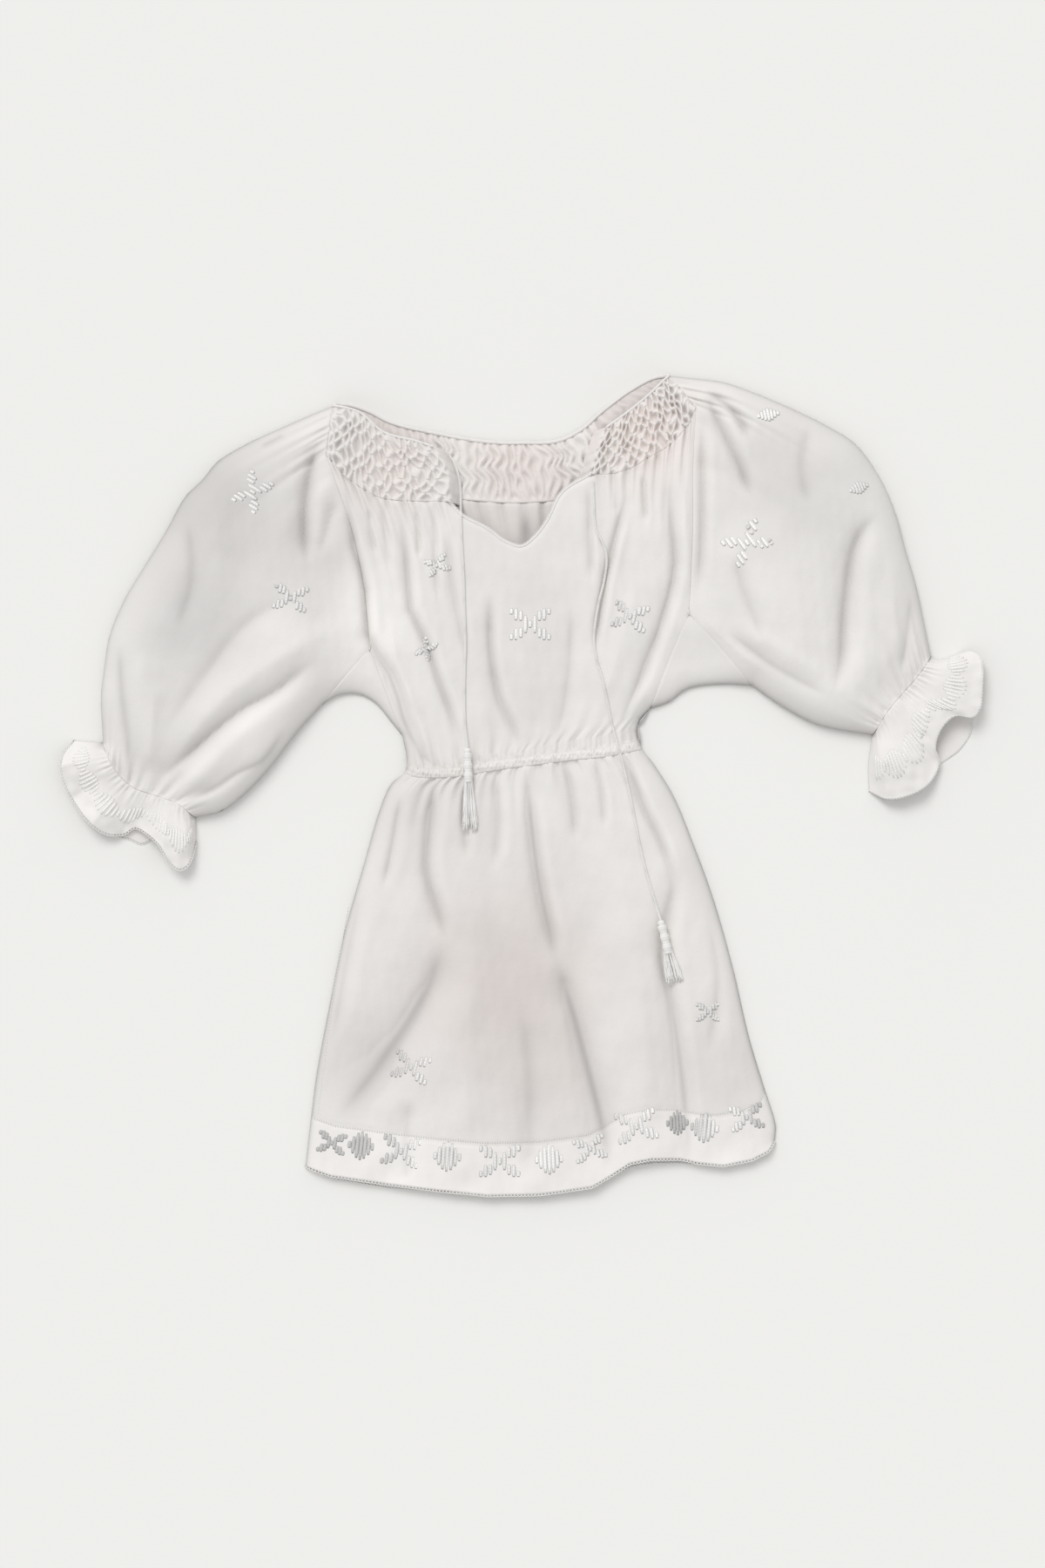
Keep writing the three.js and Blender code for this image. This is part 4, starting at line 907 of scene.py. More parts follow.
def skirt_grids():
    """Front and back of the skirt between the waist, its folded sides and the hem, with the front's shade."""
    edges = [skirt_edge(RIGHT, TOWARDS_HEM[0]), skirt_edge(LEFT, TOWARDS_HEM[-1])]
    across, down = shares(250, 0.45), SKIRT_DOWN
    plan = panel(TOWARDS_HEM, hem_line(1), *edges, across, down)
    far = measured(plan)[1]
    along = np.broadcast_to(across * WAIST_LENGTH, far.shape)
    quiet = inset(across, 14)
    z, shade = draped(plan)
    drawn = pleats(along, far, WAIST_LENGTH, 5.2, 2.4, 17, 11)
    drawn = drawn + pleats(along, far, WAIST_LENGTH, 13, 4.0, 55, 12, 0.02)
    drawn = quiet * (drawn + pleats(along, far, WAIST_LENGTH, 22, 2.6, 150, 13, 0.02))
    # painted shade in the valleys of the skirt's gathers
    z, shade = z + drawn, painted_fold_shade(shade, drawn, 0.014)
    from_hem = far[-1:] - far
    z = z + 0.6 * eased((BORDER_DEPTH - from_hem) / 2.5)
    z = z - 0.7 * np.exp(-((from_hem - BORDER_DEPTH - 1) / 1.6) ** 2)
    z = z + quiet * 0.9 * crumple(plan, 60, 21, 0.8) * np.exp(-from_hem / 60)
    border = eased((BORDER_DEPTH + 1 - from_hem) / 3)
    shade = shade + both(0.07 * border, -0.4 * border * shade[..., 1])
    front = at_height(plan, np.maximum(z, LEAST_Z))
    return front, underside(front, TOWARDS_HEM, hem_line(2), edges, 40, down), shade


def bodice_front_grid():
    """The bodice's front, drawn up at the yokes and at the waist, and its shade."""
    edges = [bodice_edge(RIGHT, TOWARDS_NECK[0]), bodice_edge(LEFT, TOWARDS_NECK[-1])]
    across, down = np.linspace(0, 1, 301), shares(116, 0.3)
    plan = panel(NECKLINE, TOWARDS_NECK, *edges, across, down)
    from_top = measured(plan)[1]
    from_waist = from_top[-1:] - from_top
    along = np.broadcast_to(across * WAIST_LENGTH, from_top.shape)
    quiet = inset(across, 20)
    top = MARKS["yoke"] / MARKS["waist"]
    under_yoke = np.clip((np.maximum(top - across, across - 1 + top)) * 30, 0, 1)
    foot = np.broadcast_to(across * YOKE_FOOT_LENGTH, from_top.shape)
    z, shade = draped(plan)
    drawn = pleats(along, from_waist, WAIST_LENGTH, 5.2, 2.4, 15, 31)
    drawn = quiet * (drawn + pleats(along, from_waist, WAIST_LENGTH, 13, 4.0, 46, 32, 0.02))
    hung = pleats(foot, from_top, YOKE_FOOT_LENGTH, 15, 4.2, 70, 34, 0.02)
    hung = quiet * under_yoke * (hung + pleats(foot, from_top, YOKE_FOOT_LENGTH, 34, 3.2, 130, 35, 0.02))
    # painted shade in the valleys of the bodice's gathers
    z, shade = z + drawn + hung, painted_fold_shade(shade, drawn + hung, 0.014)
    fade = np.exp(-(from_top / 20) ** 1.3)
    for seed, share in ((YOKE_SEEDS["right"], across / top), (YOKE_SEEDS["left"], (1 - across) / top)):
        inside = np.clip((1 - share) * 12, 0, 1) * np.clip(share * 12, 0, 1)
        ridges = smocked(share + 0 * from_top, 1 + 0.03 * np.tanh(from_top / 8), seed)
        z = z + fade * inside * sizes().smocking * (ridges - 0.5)
        # painted shade in the smocking's hollows
        shade = shade - both(HOLLOW_SHADE * fade * inside * (1 - ridges) ** 2, 0)
    for side in (RIGHT, LEFT):
        z = seamed(z, plan, side, "gusset_bodice")
    z = z + sunk(plan, curve(SLIT, 40), 1.6, 3)
    return at_height(plan, np.maximum(z, LEAST_Z)), shade


def honeycomb(across, down, sway, seed, warp=WARP):
    """Rounded pleats that sway and meet their neighbours in turn, with lens-shaped hollows between them.

    across counts pleats and down counts the rows where they meet. The height is the highest of the bells
    round each pleat's middle line.
    """
    rng = np.random.default_rng(seed)
    place = both(across, down)
    across = across + warp * crumple(place, 5.5, seed)
    down = down + 0.8 * warp * crumple(place, 4.5, seed + 1)
    height = np.zeros_like(across)
    for k in range(-1, int(across.max()) + 3):
        lean, reach, wide = rng.normal(0, 0.09), rng.uniform(0.6, 1.25), rng.uniform(0.4, 0.54)
        middle = k + lean + (-1) ** k * sway * reach * np.cos(math.pi * down)
        height = np.maximum(height, np.exp(-np.abs((across - middle) / wide) ** 2.4))
    return height


def smocked(across, down, seed):
    """A front yoke's relief between 0 and 1, at shares of its width and depth."""
    return honeycomb(across * sizes().pleats, down * SMOCKED_ROWS, 0.3, seed)


def yoke_grid(name, side):
    """One side of the smocked front yoke, from the shoulder to the slit, and its shade."""
    across, down = np.linspace(0, 1, 180), np.linspace(0, 1, 90)
    lines = [curve(side[edge], 60) for edge in ("neck", "yoke_foot", "shoulder", "yoke_end")]
    plan = panel(*lines, across, down)
    s, u = np.broadcast_to(across, plan.shape[:2]), np.broadcast_to(down[:, None], plan.shape[:2])
    ridges = smocked(s, u, YOKE_SEEDS[name])
    z, shade = draped(plan, creased=False)
    room = np.clip((z - FRONT_Z) / 8, 0.15, 1) * (0.55 + 0.45 * eased(u * 4))
    room = room * (0.35 + 0.65 * eased(s * 9))
    z = z + room * sizes().smocking * (1.0 if side is RIGHT else LEFT_FULLER) * (ridges - 0.5)
    # painted shade in the smocking's hollows, darkest at the shoulder end
    deep = 2.6 - 1.9 * eased(s * 2.2)
    shade = shade - both(HOLLOW_SHADE * room * deep * (1 - ridges) ** 2, 0)
    grid = at_height(plan, np.maximum(z, LEAST_Z))
    out = unit(grid[-1, :, :2] - grid[-3, :, :2])
    grid[-1, :, :2] += 0.8 * out
    grid[-1, :, 2] -= 1.2
    return grid, shade


def faced(grid, shade, side):
    """The yoke turned in along the slit: its facing falls from the edge to just above the back, with painted
    shade growing down it.
    """
    t = np.linspace(0, 1, 14)[1:]
    inward = 13 * (1 if side is RIGHT else -1)
    edge = grid[:, -1:, 2]
    calm = edge.copy()
    for _ in range(60):
        calm[1:-1] = (calm[:-2] + calm[1:-1] + calm[2:]) / 3
    blend = eased(3 * t)
    edge = edge * (1 - blend) + calm * blend
    fall = edge - FACING_Z
    x = grid[:, -1:, 0] + inward * t
    y = grid[:, -1:, 1] - 3 * t
    z = edge - fall * smooth(t ** 0.8)
    turned = at_height(both(x, y), z + 0.5 * crumple(both(x, y), 14, 81, 2.0))
    # painted shade on the facing, darker and pinker as it falls under the edge
    dim = shade[:, -1:] - both(0.09 * t, -0.3 * t)[None]
    return np.concatenate([grid, turned], axis=1), np.concatenate([shade, dim], axis=1)


def smocking_stitches(name, grid):
    """Small stitches across each pair of pleats where they meet."""
    count, seed, ends = int(sizes().pleats), YOKE_SEEDS[name], []
    for row in range(1, SMOCKED_ROWS):
        k = np.arange(row % 2, count - 1, 2)[:, None] + 0.5 + np.array([-0.36, 0.36])
        place = both(k, float(row))
        k = k - WARP * crumple(place, 5.5, seed)
        row_at = row - 0.8 * WARP * crumple(place, 4.5, seed + 1)
        at = (np.clip(share, 0.01, 0.99) for share in (k / count, row_at / SMOCKED_ROWS))
        ends.append(on_grid(grid, *at)[..., :2])
    return np.concatenate(ends)


def back_grids():
    """The yoke's back with its swaying pleats, and the bodice's back hanging from it, each with its shade."""
    foot = curve(BACK_YOKE, 176)
    across, down = np.linspace(0, 1, 300), np.linspace(0, 1, 56)
    shoulders = [curve(side["shoulder"], 20, True) for side in (RIGHT, LEFT)]
    plan = panel(curve(BACK_NECK, 176), foot, *shoulders, across, down)
    s, u = np.broadcast_to(across, plan.shape[:2]), np.broadcast_to(down[:, None], plan.shape[:2])
    inside = np.clip(np.minimum(s - 0.16, 0.84 - s) * 10, 0, 1)
    uneven = 0.3 * crumple(both(s * 50, u * 6), 9, 73)
    sway = np.sin(math.pi * u * 4.4 + 0.8 + 3 * uneven)
    swayed = s * 50 + (0.2 + uneven) * sway * np.clip(3 * (1 - u), 0, 1)
    ridges = honeycomb(swayed, u * 5, 0.13, 71, 0.42)
    ridges = ridges + (0.85 - ridges) * eased((u - 0.88) / 0.1)
    rise = 0.8 + (1.0 + 4.6 * inside) * ridges * (0.55 + 0.45 * eased(5 * u))
    yoke = at_height(plan, rise)
    yoke[-1, :, 1] -= 0.8
    # painted shade in the back yoke's hollows, darker towards its foot
    light = 1 - 0.75 * HOLLOW_SHADE * (1 - ridges) ** 2 - 0.02 * smooth(u) + 0.03
    yoke_shade = both(light, 0.2 + 0.5 * np.abs(np.sin(s * 9)))
    across, down = np.linspace(0, 1, 170), shares(56)
    edges = [bodice_edge(RIGHT, TOWARDS_NECK[0]), bodice_edge(LEFT, TOWARDS_NECK[-1])]
    plan = panel(foot, TOWARDS_NECK, *edges, across, down)
    away = measured(plan)[1]
    along = np.broadcast_to(across * BACK_FOOT_LENGTH, away.shape)
    inside = np.clip(np.minimum(across - 0.2, 0.8 - across) * 12, 0, 1)
    hung = pleats(along, away, BACK_FOOT_LENGTH, 8, 2.6, 60, 72)
    hung = hung + pleats(along, away, BACK_FOOT_LENGTH, 19, 4.4, 90, 74, 0.05)
    bodice = at_height(plan, 0.5 + inside * np.clip(5.2 + hung, 0, 6))
    # painted shadow at the foot of the slit
    painted_slit_shadow = np.exp(-((plan[..., 0] - 3) / 7) ** 2 - ((plan[..., 1] - 268) / 16) ** 2)
    bodice[0, :, 1] += 1.2
    bodice[0, :, 2] = np.maximum(bodice[0, :, 2] - 0.8, 0.5)
    # painted shade in the hung pleats' valleys, and the painted shadow at the slit
    shade = both(0.99 + 0.05 * np.minimum(hung, 0) - 0.35 * painted_slit_shadow, 0.4)
    return (yoke, yoke_shade), (bodice, shade)


def sleeve_grids(side, seed):
    """A puffed sleeve lying flat, gathered at its head and into elastic at its cuff, and its shade."""
    head, cuff = head_line(side), curve(side["cuff"], MARKS["cuff"] * SAMPLES)
    folds = [curve(side[edge], 200) for edge in ("sleeve_top", "sleeve_under")]
    across, down = shares(120, 0.55), shares(144, 0.3)
    plan = panel(head, cuff, *folds, across, down)
    from_head = measured(plan)[1]
    from_cuff = from_head[-1:] - from_head
    quiet = inset(across, 9)
    z, shade = draped(plan)
    gather = np.broadcast_to(across * CUFF_ROUND, from_head.shape)
    drawn = pleats(gather, from_cuff, CUFF_ROUND, 4.8, 2.6, 14, seed)
    drawn = drawn + pleats(gather, from_cuff, CUFF_ROUND, 11, 4.6, 46, seed + 1, 0.03)
    gather = np.broadcast_to(across * HEAD_ROUND, from_head.shape)
    upper = np.clip((0.55 - across) * 6, 0, 1) * np.clip(0.35 + from_head / 14, 0, 1)
    drawn = drawn + upper * pleats(gather, from_head, HEAD_ROUND, 9, 2.8, 24, seed + 2)
    drawn = quiet * (drawn + upper * pleats(gather, from_head, HEAD_ROUND, 21, 4.2, 80, seed + 3, 0.04))
    # painted shade in the valleys of the sleeve's gathers
    z, shade = z + drawn, painted_fold_shade(shade, drawn, 0.014)
    z = seamed(z, plan, side, "gusset_sleeve")
    front = at_height(plan, np.maximum(z, LEAST_Z))
    tucked = unit(front[0, :, :2] - front[1, :, :2])
    front[0, :, :2] += 1.0 * tucked
    front[0, :, 2] = np.maximum(front[0, :, 2] - 0.5, 0.6)
    return front, underside(front, head, cuff, folds, 30, down), shade


def frill_grids(side, flutes, seed):
    """The cuff's frill, opening from its gathers into flutes of the given heights, and its shade."""
    cuff = curve(side["cuff"], MARKS["cuff"] * SAMPLES)
    ends = [curve(side["frill_top"], 30), curve(side["frill_under"], 30)]
    across, down = shares(150, 0.3), np.linspace(0, 1, 40)
    plan = panel(cuff, curve(side["frill_edge"], 300), *ends, across, down)
    open_ = smooth(down)[:, None]
    rounding = np.sqrt(1 - (1 - np.clip(np.minimum(across, 1 - across) / 0.11, 0, 1)) ** 2)
    far = measured(plan)[1]
    z, shade = draped(plan)
    drawn = pleats(np.broadcast_to(across * CUFF_ROUND, far.shape), far, CUFF_ROUND, 4.8, 3.4, 15, seed)
    flared = (z + drawn) * (1 - open_) + np.interp(across, flutes[:, 0], flutes[:, 1])[None] * open_
    flared = flared + 0.8 * open_ * crumple(plan, 22, seed + 1)
    front = at_height(plan, np.maximum(1.2 + (flared - 1.2) * rounding, 1.0))
    back = underside(front, cuff, curve(side["frill_back"], 300), ends, 60, down)
    # painted shade in the valleys of the frill's gathers
    return front, back, painted_fold_shade(shade, drawn, 0.018)


def gusset_grid(side):
    """The underarm gusset, from its point to its fold at the front and back underneath, and its shade."""
    t, share = np.linspace(-0.03, 1.03, 32)[None, :, None], np.linspace(-0.05, 1, GUSSET_ROWS)[:, None, None]
    fold = curve(side["gusset_fold"], 31)[None]
    a0, a1 = np.array(side["gusset_bodice"], float)
    b0, b1 = np.array(side["gusset_sleeve"], float)
    straight = (a0 + (a1 - a0) * share) * (1 - t) + (b0 + (b1 - b0) * share) * t
    plan = straight + (fold - (fold[:, :1] * (1 - t) + fold[:, -1:] * t)) * share ** 2
    tip = plan[0].mean(axis=0)
    plan[0] = plan[0] * 0.2 + tip * 0.8 + 2 * unit(tip - plan[2].mean(axis=0))
    z, shade = draped(plan)
    for edge in (z[:, 0], z[:, -1], z[0]):
        edge -= 0.7
    front = at_height(plan, np.maximum(z, LEAST_Z))
    back = at_height(plan, 0.6)
    return np.concatenate([front, back[-2::-1]], axis=0), np.concatenate([shade, shade[-2::-1]], axis=0)


def casing_grids():
    """The waist's elastic casing, puckered all along, and its shade."""
    share = np.linspace(0, 1, 330)
    lines = [picked(line, share) for line in (TOWARDS_NECK, TOWARDS_HEM)]
    down = np.linspace(0, 1, 11)
    plan = lines[0][None] * (1 - down[:, None, None]) + lines[1][None] * down[:, None, None]
    along = np.broadcast_to(share * WAIST_LENGTH, plan.shape[:2])
    across = np.broadcast_to(down[:, None], along.shape)
    pucker = crumple(both(along, across * 3), 3.6, 41) + 0.6 * np.sin(TAU * along / 2.9)
    quiet = inset(share, 30)
    z, shade = draped(plan)
    arch = np.sin(math.pi * across)
    z = z + quiet * (0.9 * arch + 0.75 * pucker * (0.3 + 0.7 * arch)) + 0.35
    plan = plan.copy()
    plan[0] += 1.0 * unit(plan[0] - plan[1])
    plan[-1] += 1.0 * unit(plan[-1] - plan[-2])
    front = at_height(plan, np.maximum(z, LEAST_Z))
    back = front[:, ::6].copy()
    back = np.concatenate([back, front[:, -1:]], axis=1)
    back[:, 1:-1, 2] = UNDER_Z
    # painted shade in the casing's puckers
    return front, back, painted_fold_shade(shade, np.minimum(pucker, 0), 0.05)


def stitched_figure(kind):
    """Satin bars of one figure about its middle, each x0, y0, x1, y1 in millimetres.

    All stand upright at an even pitch. A lozenge's or a spray's half lengths rise to the middle. A cross
    has a short bar in its middle, longer ones beside it, and four arms of bars that climb away from it.
    """
    if kind == "cross":
        bars = [(0, -3, 0, 3), (-4.4, -8, -4.4, 8), (4.4, -8, 4.4, 8)]
        for k, low, high in ((2, 3.5, 12.5), (3, 4, 14.5), (4, 9.5, 14.5)):
            for x in (-4.4 * k, 4.4 * k):
                bars += [(x, low, x, high), (x, -high, x, -low)]
        return bars
    pitch, halves = (4.3, (3.5, 9, 13.5, 15.5)) if kind == "lozenge" else (3.4, (2, 4, 6, 7))
    return [(k * pitch, -halves[3 - abs(k)], k * pitch, halves[3 - abs(k)]) for k in range(-3, 4)]


def figure_bars(figures):
    """All the figures' bars in plan, turned, sized and placed, and each bar's painted sheen."""
    bars, light = [], []
    for kind, x, y, turn, size, left, right in figures:
        local = np.array(stitched_figure(kind), float).reshape(-1, 2, 2) * size
        c, s = math.cos(math.radians(turn)), math.sin(math.radians(turn))
        bars.append(local @ np.array([[c, s], [-s, c]]) + (x, y))
        share = local[:, 0, 0] / np.abs(local[:, 0, 0]).max() / 2 + 0.5
        # painted sheen, from the figure's left to its right
        light.append(left + (right - left) * share)
    return np.concatenate(bars), np.concatenate(light)


BAR_TAPER = [0.55, 0.95, 1, 1, 0.95, 0.55]


def satin(name, ends, width, height=0.7, light=1.0, shadow_rim=0.0):
    """Padded satin bars between pairs of plan places, lying on the cloth.

    Given a rim width, each bar has a flat darker shape round it: a painted shadow where the needle has drawn
    the lawn in.
    """
    t = np.linspace(0, 1, len(BAR_TAPER))[None, :, None]
    plan = ends[:, :1] * (1 - t) + ends[:, 1:] * t
    light = np.broadcast_to(light, (len(plan),))
    paths = at_height(plan, relief.at(plan) + 0.1)
    widths, heights = np.full(len(plan), width), np.full(len(plan), height)
    if shadow_rim:
        middle = paths.mean(axis=1, keepdims=True)
        length = np.linalg.norm(ends[:, 1] - ends[:, 0], axis=1)[:, None, None]
        below = middle + (paths - middle) * (1 + shadow_rim / length)
        paths = np.concatenate([paths, below])
        widths = np.concatenate([widths, widths + shadow_rim])
        heights = np.concatenate([heights, np.full(len(plan), 0.15)])
        # the rim's painted shadow, darker than its bar
        light = np.concatenate([light, 0.35 + 0.4 * light])
    return strands(name, paths, widths, heights, 6, "thread", BAR_TAPER, True, light)


def stitches_along(line, pitch, length, turn=0.0):
    """Short stitches evenly along a plan line: at turn 0 they lie along it, and at 90 degrees across it."""
    middle, along = paced(line, pitch, 2)
    c, s = math.cos(math.radians(turn)), math.sin(math.radians(turn))
    way = both(along[:, 0] * c - along[:, 1] * s, along[:, 0] * s + along[:, 1] * c)
    return np.stack([middle - way * length / 2, middle + way * length / 2], axis=1)


def loops(name, line, pitch, size, width, outward):
    """Small crocheted loops standing out from an edge: each is half an ellipse on its own stretch of it."""
    middle, along = paced(line, pitch, 3)
    out = np.stack([-along[:, 1], along[:, 0], 0 * along[:, 0]], axis=1) * outward
    turn = np.linspace(-0.15, math.pi + 0.15, 8)[None, :, None]
    paths = (middle[:, None] + 0.56 * pitch * np.cos(turn) * along[:, None]
             + size * (np.sin(turn) - 0.1) * out[:, None])
    paths[..., 2] = np.maximum(paths[..., 2] + 0.25 * np.sin(turn[..., 0]), width / 2 + 0.1)
    return strands(name, paths, width, width, 4, "thread")


def binding(name, line, width, height, seed, lift, material="border"):
    """A narrow rolled edge along a plan line, puckered by its gathers."""
    path = spread(line, np.linspace(0, 1, int(steps(line).sum() / 1.1)))
    rng = np.random.default_rng(seed)
    path = at_height(path, relief.top(path, 1.2) + lift)
    z = path[:, 2]
    for _ in range(3):
        z[1:-1] = (z[:-2] + z[1:-1] + z[2:]) / 3
    k = np.arange(len(path))
    pucker = 1 + 0.05 * np.sin(k * 1.7 + 1.3 * np.sin(k * 0.37)) + rng.uniform(-0.03, 0.03, len(path))
    return strands(name, path[None], width, height, 10, material, pucker)


def two_ply(name, path, diameter, pitch):
    """Two round plies twisted about the path, each a quarter of the diameter away from it."""
    line = spread(path, np.linspace(0, 1, int(steps(path).sum() / 0.7)))
    along = run(line)
    tangent = unit(np.gradient(line, axis=0))
    side = unit(np.cross(np.array([0, 0, 1.0]), tangent))
    up = np.cross(tangent, side)
    plies = []
    for start in (0, math.pi):
        turn = (along * TAU / pitch + start)[:, None]
        plies.append(line + diameter / 4 * (np.cos(turn) * side + np.sin(turn) * up))
    return strands(name, np.array(plies), diameter / 2 * 1.12, diameter / 2 * 1.12, 6, "cord")


def lathe(name, start, along, profile, material):
    """A turned form: rings of the profile's radii at its places along a level line."""
    around = 20
    along = unit(np.array([*along, 0.0]))
    side = np.cross(np.array([0, 0, 1.0]), along)
    turn = np.arange(around) * TAU / around
    ring = np.cos(turn)[:, None] * side + np.sin(turn)[:, None] * np.array([0, 0, 1.0])
    profile = np.array(profile, float)
    points = np.array(start) + profile[:, None, 1:] * along + profile[:, None, :1] * ring
    rows = len(profile)
    faces = np.concatenate([quads(rows, around, closed=True)[:, ::-1], cap(around),
                            cap(around)[:, ::-1] + (rows - 1) * around])
    uv = both(turn * 4, profile[:, None, 1]).reshape(-1, 2)
    return new_mesh(name, points, faces, uv[faces.ravel()], material)


def settled(plan, width):
    """Lifts a line of plan places on to the cloth, with its hollows bridged."""
    z = relief.top(plan, width * 0.7) + width / 2 + 0.2
    for _ in range(6):
        z[1:-1] = np.maximum(z[1:-1], (z[:-2] + z[2:]) / 2)
    for _ in range(2):
        z[1:-1] = (z[:-2] + 2 * z[1:-1] + z[2:]) / 4
    return at_height(plan, z)


def tie_and_tassel(side_name, route, tassel):
    """A two-ply tie from the neck to its tassel, whose strands fan out from a bound head."""
    start, end = (np.array(tassel[key], float) for key in ("from", "to"))
    along = unit(end - start)
    across = np.array([-along[1], along[0]])
    middle = start + along * HEAD_LENGTH / 2
    head_z = float(relief.top(middle[None], HEAD_LENGTH / 3)[0]) + TASSEL_HEAD / 2 - 0.6
    line = curve(route, int(steps(curve(route, 60)).sum() / TIE_STEP))
    path = settled(line, TIE_DIAMETER)
    climb = eased(1 + (np.arange(len(path)) - len(path) + 1) / 9)
    path[:, 2] = np.maximum(path[:, 2], path[:, 2] * (1 - climb) + head_z * climb)
    tie = two_ply(f"tie_cord_{side_name}_twisted", path, TIE_DIAMETER, 5.5)
    profile = [(0.35, 0), (1.5, 0.1), (2.6, 0.8), (3.4, 2.0), (3.7, 3.6), (3.0, 5.2)]
    knots = np.arange(1, 43)
    swell = 4.1 + 0.5 * np.sin(knots * 0.42) + 0.45 * np.abs(np.sin(knots * math.pi / 4))
    profile += list(zip(swell, 5.4 + knots * 0.7))
    profile += [(3.4, HEAD_LENGTH), (2.0, HEAD_LENGTH + 0.4)]
    head = lathe(f"tassel_head_{side_name}", (*start, head_z), along, profile, "cord")
    rng = np.random.default_rng(90 + len(side_name))
    count = int(sizes().tassel_strands)
    length = np.linalg.norm(end - start)
    reach = rng.uniform(0.86, 1.0, count) * length
    fan = np.sort(rng.uniform(0.1, 1, count) * np.where(np.arange(count) % 2, 1, -1))
    layer = rng.uniform(0, 1, count)
    share = np.linspace(0, 1, 18)
    wave = rng.uniform(0.2, 0.9, count)[:, None] * np.sin(
        share * rng.uniform(3, 8, count)[:, None] + rng.uniform(0, TAU, count)[:, None])
    out = tassel["spread"] * (fan[:, None] * (0.42 + 0.58 * share ** 0.8)) + wave * share
    far = HEAD_LENGTH * 0.85 + (reach[:, None] - HEAD_LENGTH * 0.85) * share
    plan = start + far[..., None] * along + out[..., None] * across
    line = start + np.linspace(0, length, 40)[:, None] * along
    ground = relief.top(line, 0.55 * tassel["spread"])
    for _ in range(10):
        ground[1:-1] = np.maximum(ground[1:-1], (ground[:-2] + ground[2:]) / 2)
    ground = np.interp(far, np.linspace(0, length, 40), ground)
    drop = eased(share * 2.5)
    lay = ground + 0.5 + (2.6 * layer[:, None] + 1.6 * (1 - fan[:, None] ** 2)) * (1 - 0.4 * share)
    round_ = head_z + (layer[:, None] - 0.5) * 5.4 * np.sqrt(np.clip(1 - fan[:, None] ** 2, 0.05, 1))
    z = np.maximum(round_ * (1 - drop) + lay * drop, relief.at(plan) + 0.5)
    # painted shade: strands lower in the tassel are darker
    threads = strands(f"tassel_{side_name}_strands", at_height(plan, z), 1.0, 1.0, 4,
                      "cord", [1] * 16 + [0.9, 0.5], light=0.88 + 0.18 * layer)
    return tie, head, threads, path


class DressSizes(bpy.types.PropertyGroup):
    """Sizes of the cloth and its sewing, in millimetres."""
    cloth: bpy.props.FloatProperty(name="Cloth", description="Thickness of one layer, in millimetres",
                                   default=0.5, min=0.2, max=1.2)
    weave: bpy.props.FloatProperty(name="Weave", description="Width of one thread's repeat, in millimetres",
                                   default=0.6, min=0.2, max=2)
    smocking: bpy.props.FloatProperty(name="Smocking", description="Depth of the smocking, in millimetres",
                                      default=4.4, min=1, max=8)
    pleats: bpy.props.IntProperty(name="Pleats", description="Pleats drawn up in each front yoke",
                                  default=21, min=8, max=40)
    tassel_strands: bpy.props.IntProperty(name="Tassel strands", description="Threads in each tassel",
                                          default=64, min=20, max=240)
    bar: bpy.props.FloatProperty(name="Satin bar", description="Width of a satin bar, in millimetres",
                                 default=3.1, min=1, max=5)


class DressColours(bpy.types.PropertyGroup):
    """Colours of the cloth, its thread and the paper below."""
    cotton: bpy.props.FloatVectorProperty(name="Cotton", description="Colour of the lawn", subtype="COLOR",
                                          default=(0.81, 0.792, 0.772), min=0, max=1)
    blush: bpy.props.FloatVectorProperty(name="Blush", description="Tint of the lawn's shaded patches",
                                         subtype="COLOR", default=(0.77, 0.70, 0.67), min=0, max=1)
    thread: bpy.props.FloatVectorProperty(name="Thread", description="Colour of the embroidery thread",
                                          subtype="COLOR", default=(0.93, 0.92, 0.90), min=0, max=1)
    floor: bpy.props.FloatVectorProperty(name="Floor", description="Colour of the paper", subtype="COLOR",
                                         default=(0.86, 0.855, 0.835), min=0, max=1)


class Make:
    """What every operator of the dress shares."""
    bl_options = {"REGISTER", "UNDO"}

    def execute(self, context):
        self.make()
        return {"FINISHED"}


def sheet(name, grid, material, nodes, slot, flat, area, shade, laid=None, closed=False, **rest):
    """A piece of cloth that stands for its solids, which it hides.

    area is given only where the cut isn't a rectangle, and nothing uses it. laid is the part that other
    pieces lie on.
    """
    piece = cloth(name, grid, material, closed, shade)
    relief.lay(grid if laid is None else laid)
    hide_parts(*nodes)
    if area:
        rest["area"] = area


def ring_sheet(name, grids, material, nodes, flat, area, rests_on=()):
    """A tube of cloth that goes round from its front to its back."""
    front, back, shade = grids
    under = np.broadcast_to((1.0, 0.0), (*back.shape[:2], 2))
    sheet(name, wrapped(front, back), material, nodes, "cotton", flat, area, wrapped(shade, under),
          front, True, held="gathered", rests_on=list(rests_on), with_pieces=[])


def aimed(place):
    """Turns a lamp at that side of the dress towards its middle."""
    x, y, z = place
    return math.acos(z / math.sqrt(x * x + y * y + z * z)), 0, math.atan2(y, x) + math.pi / 2


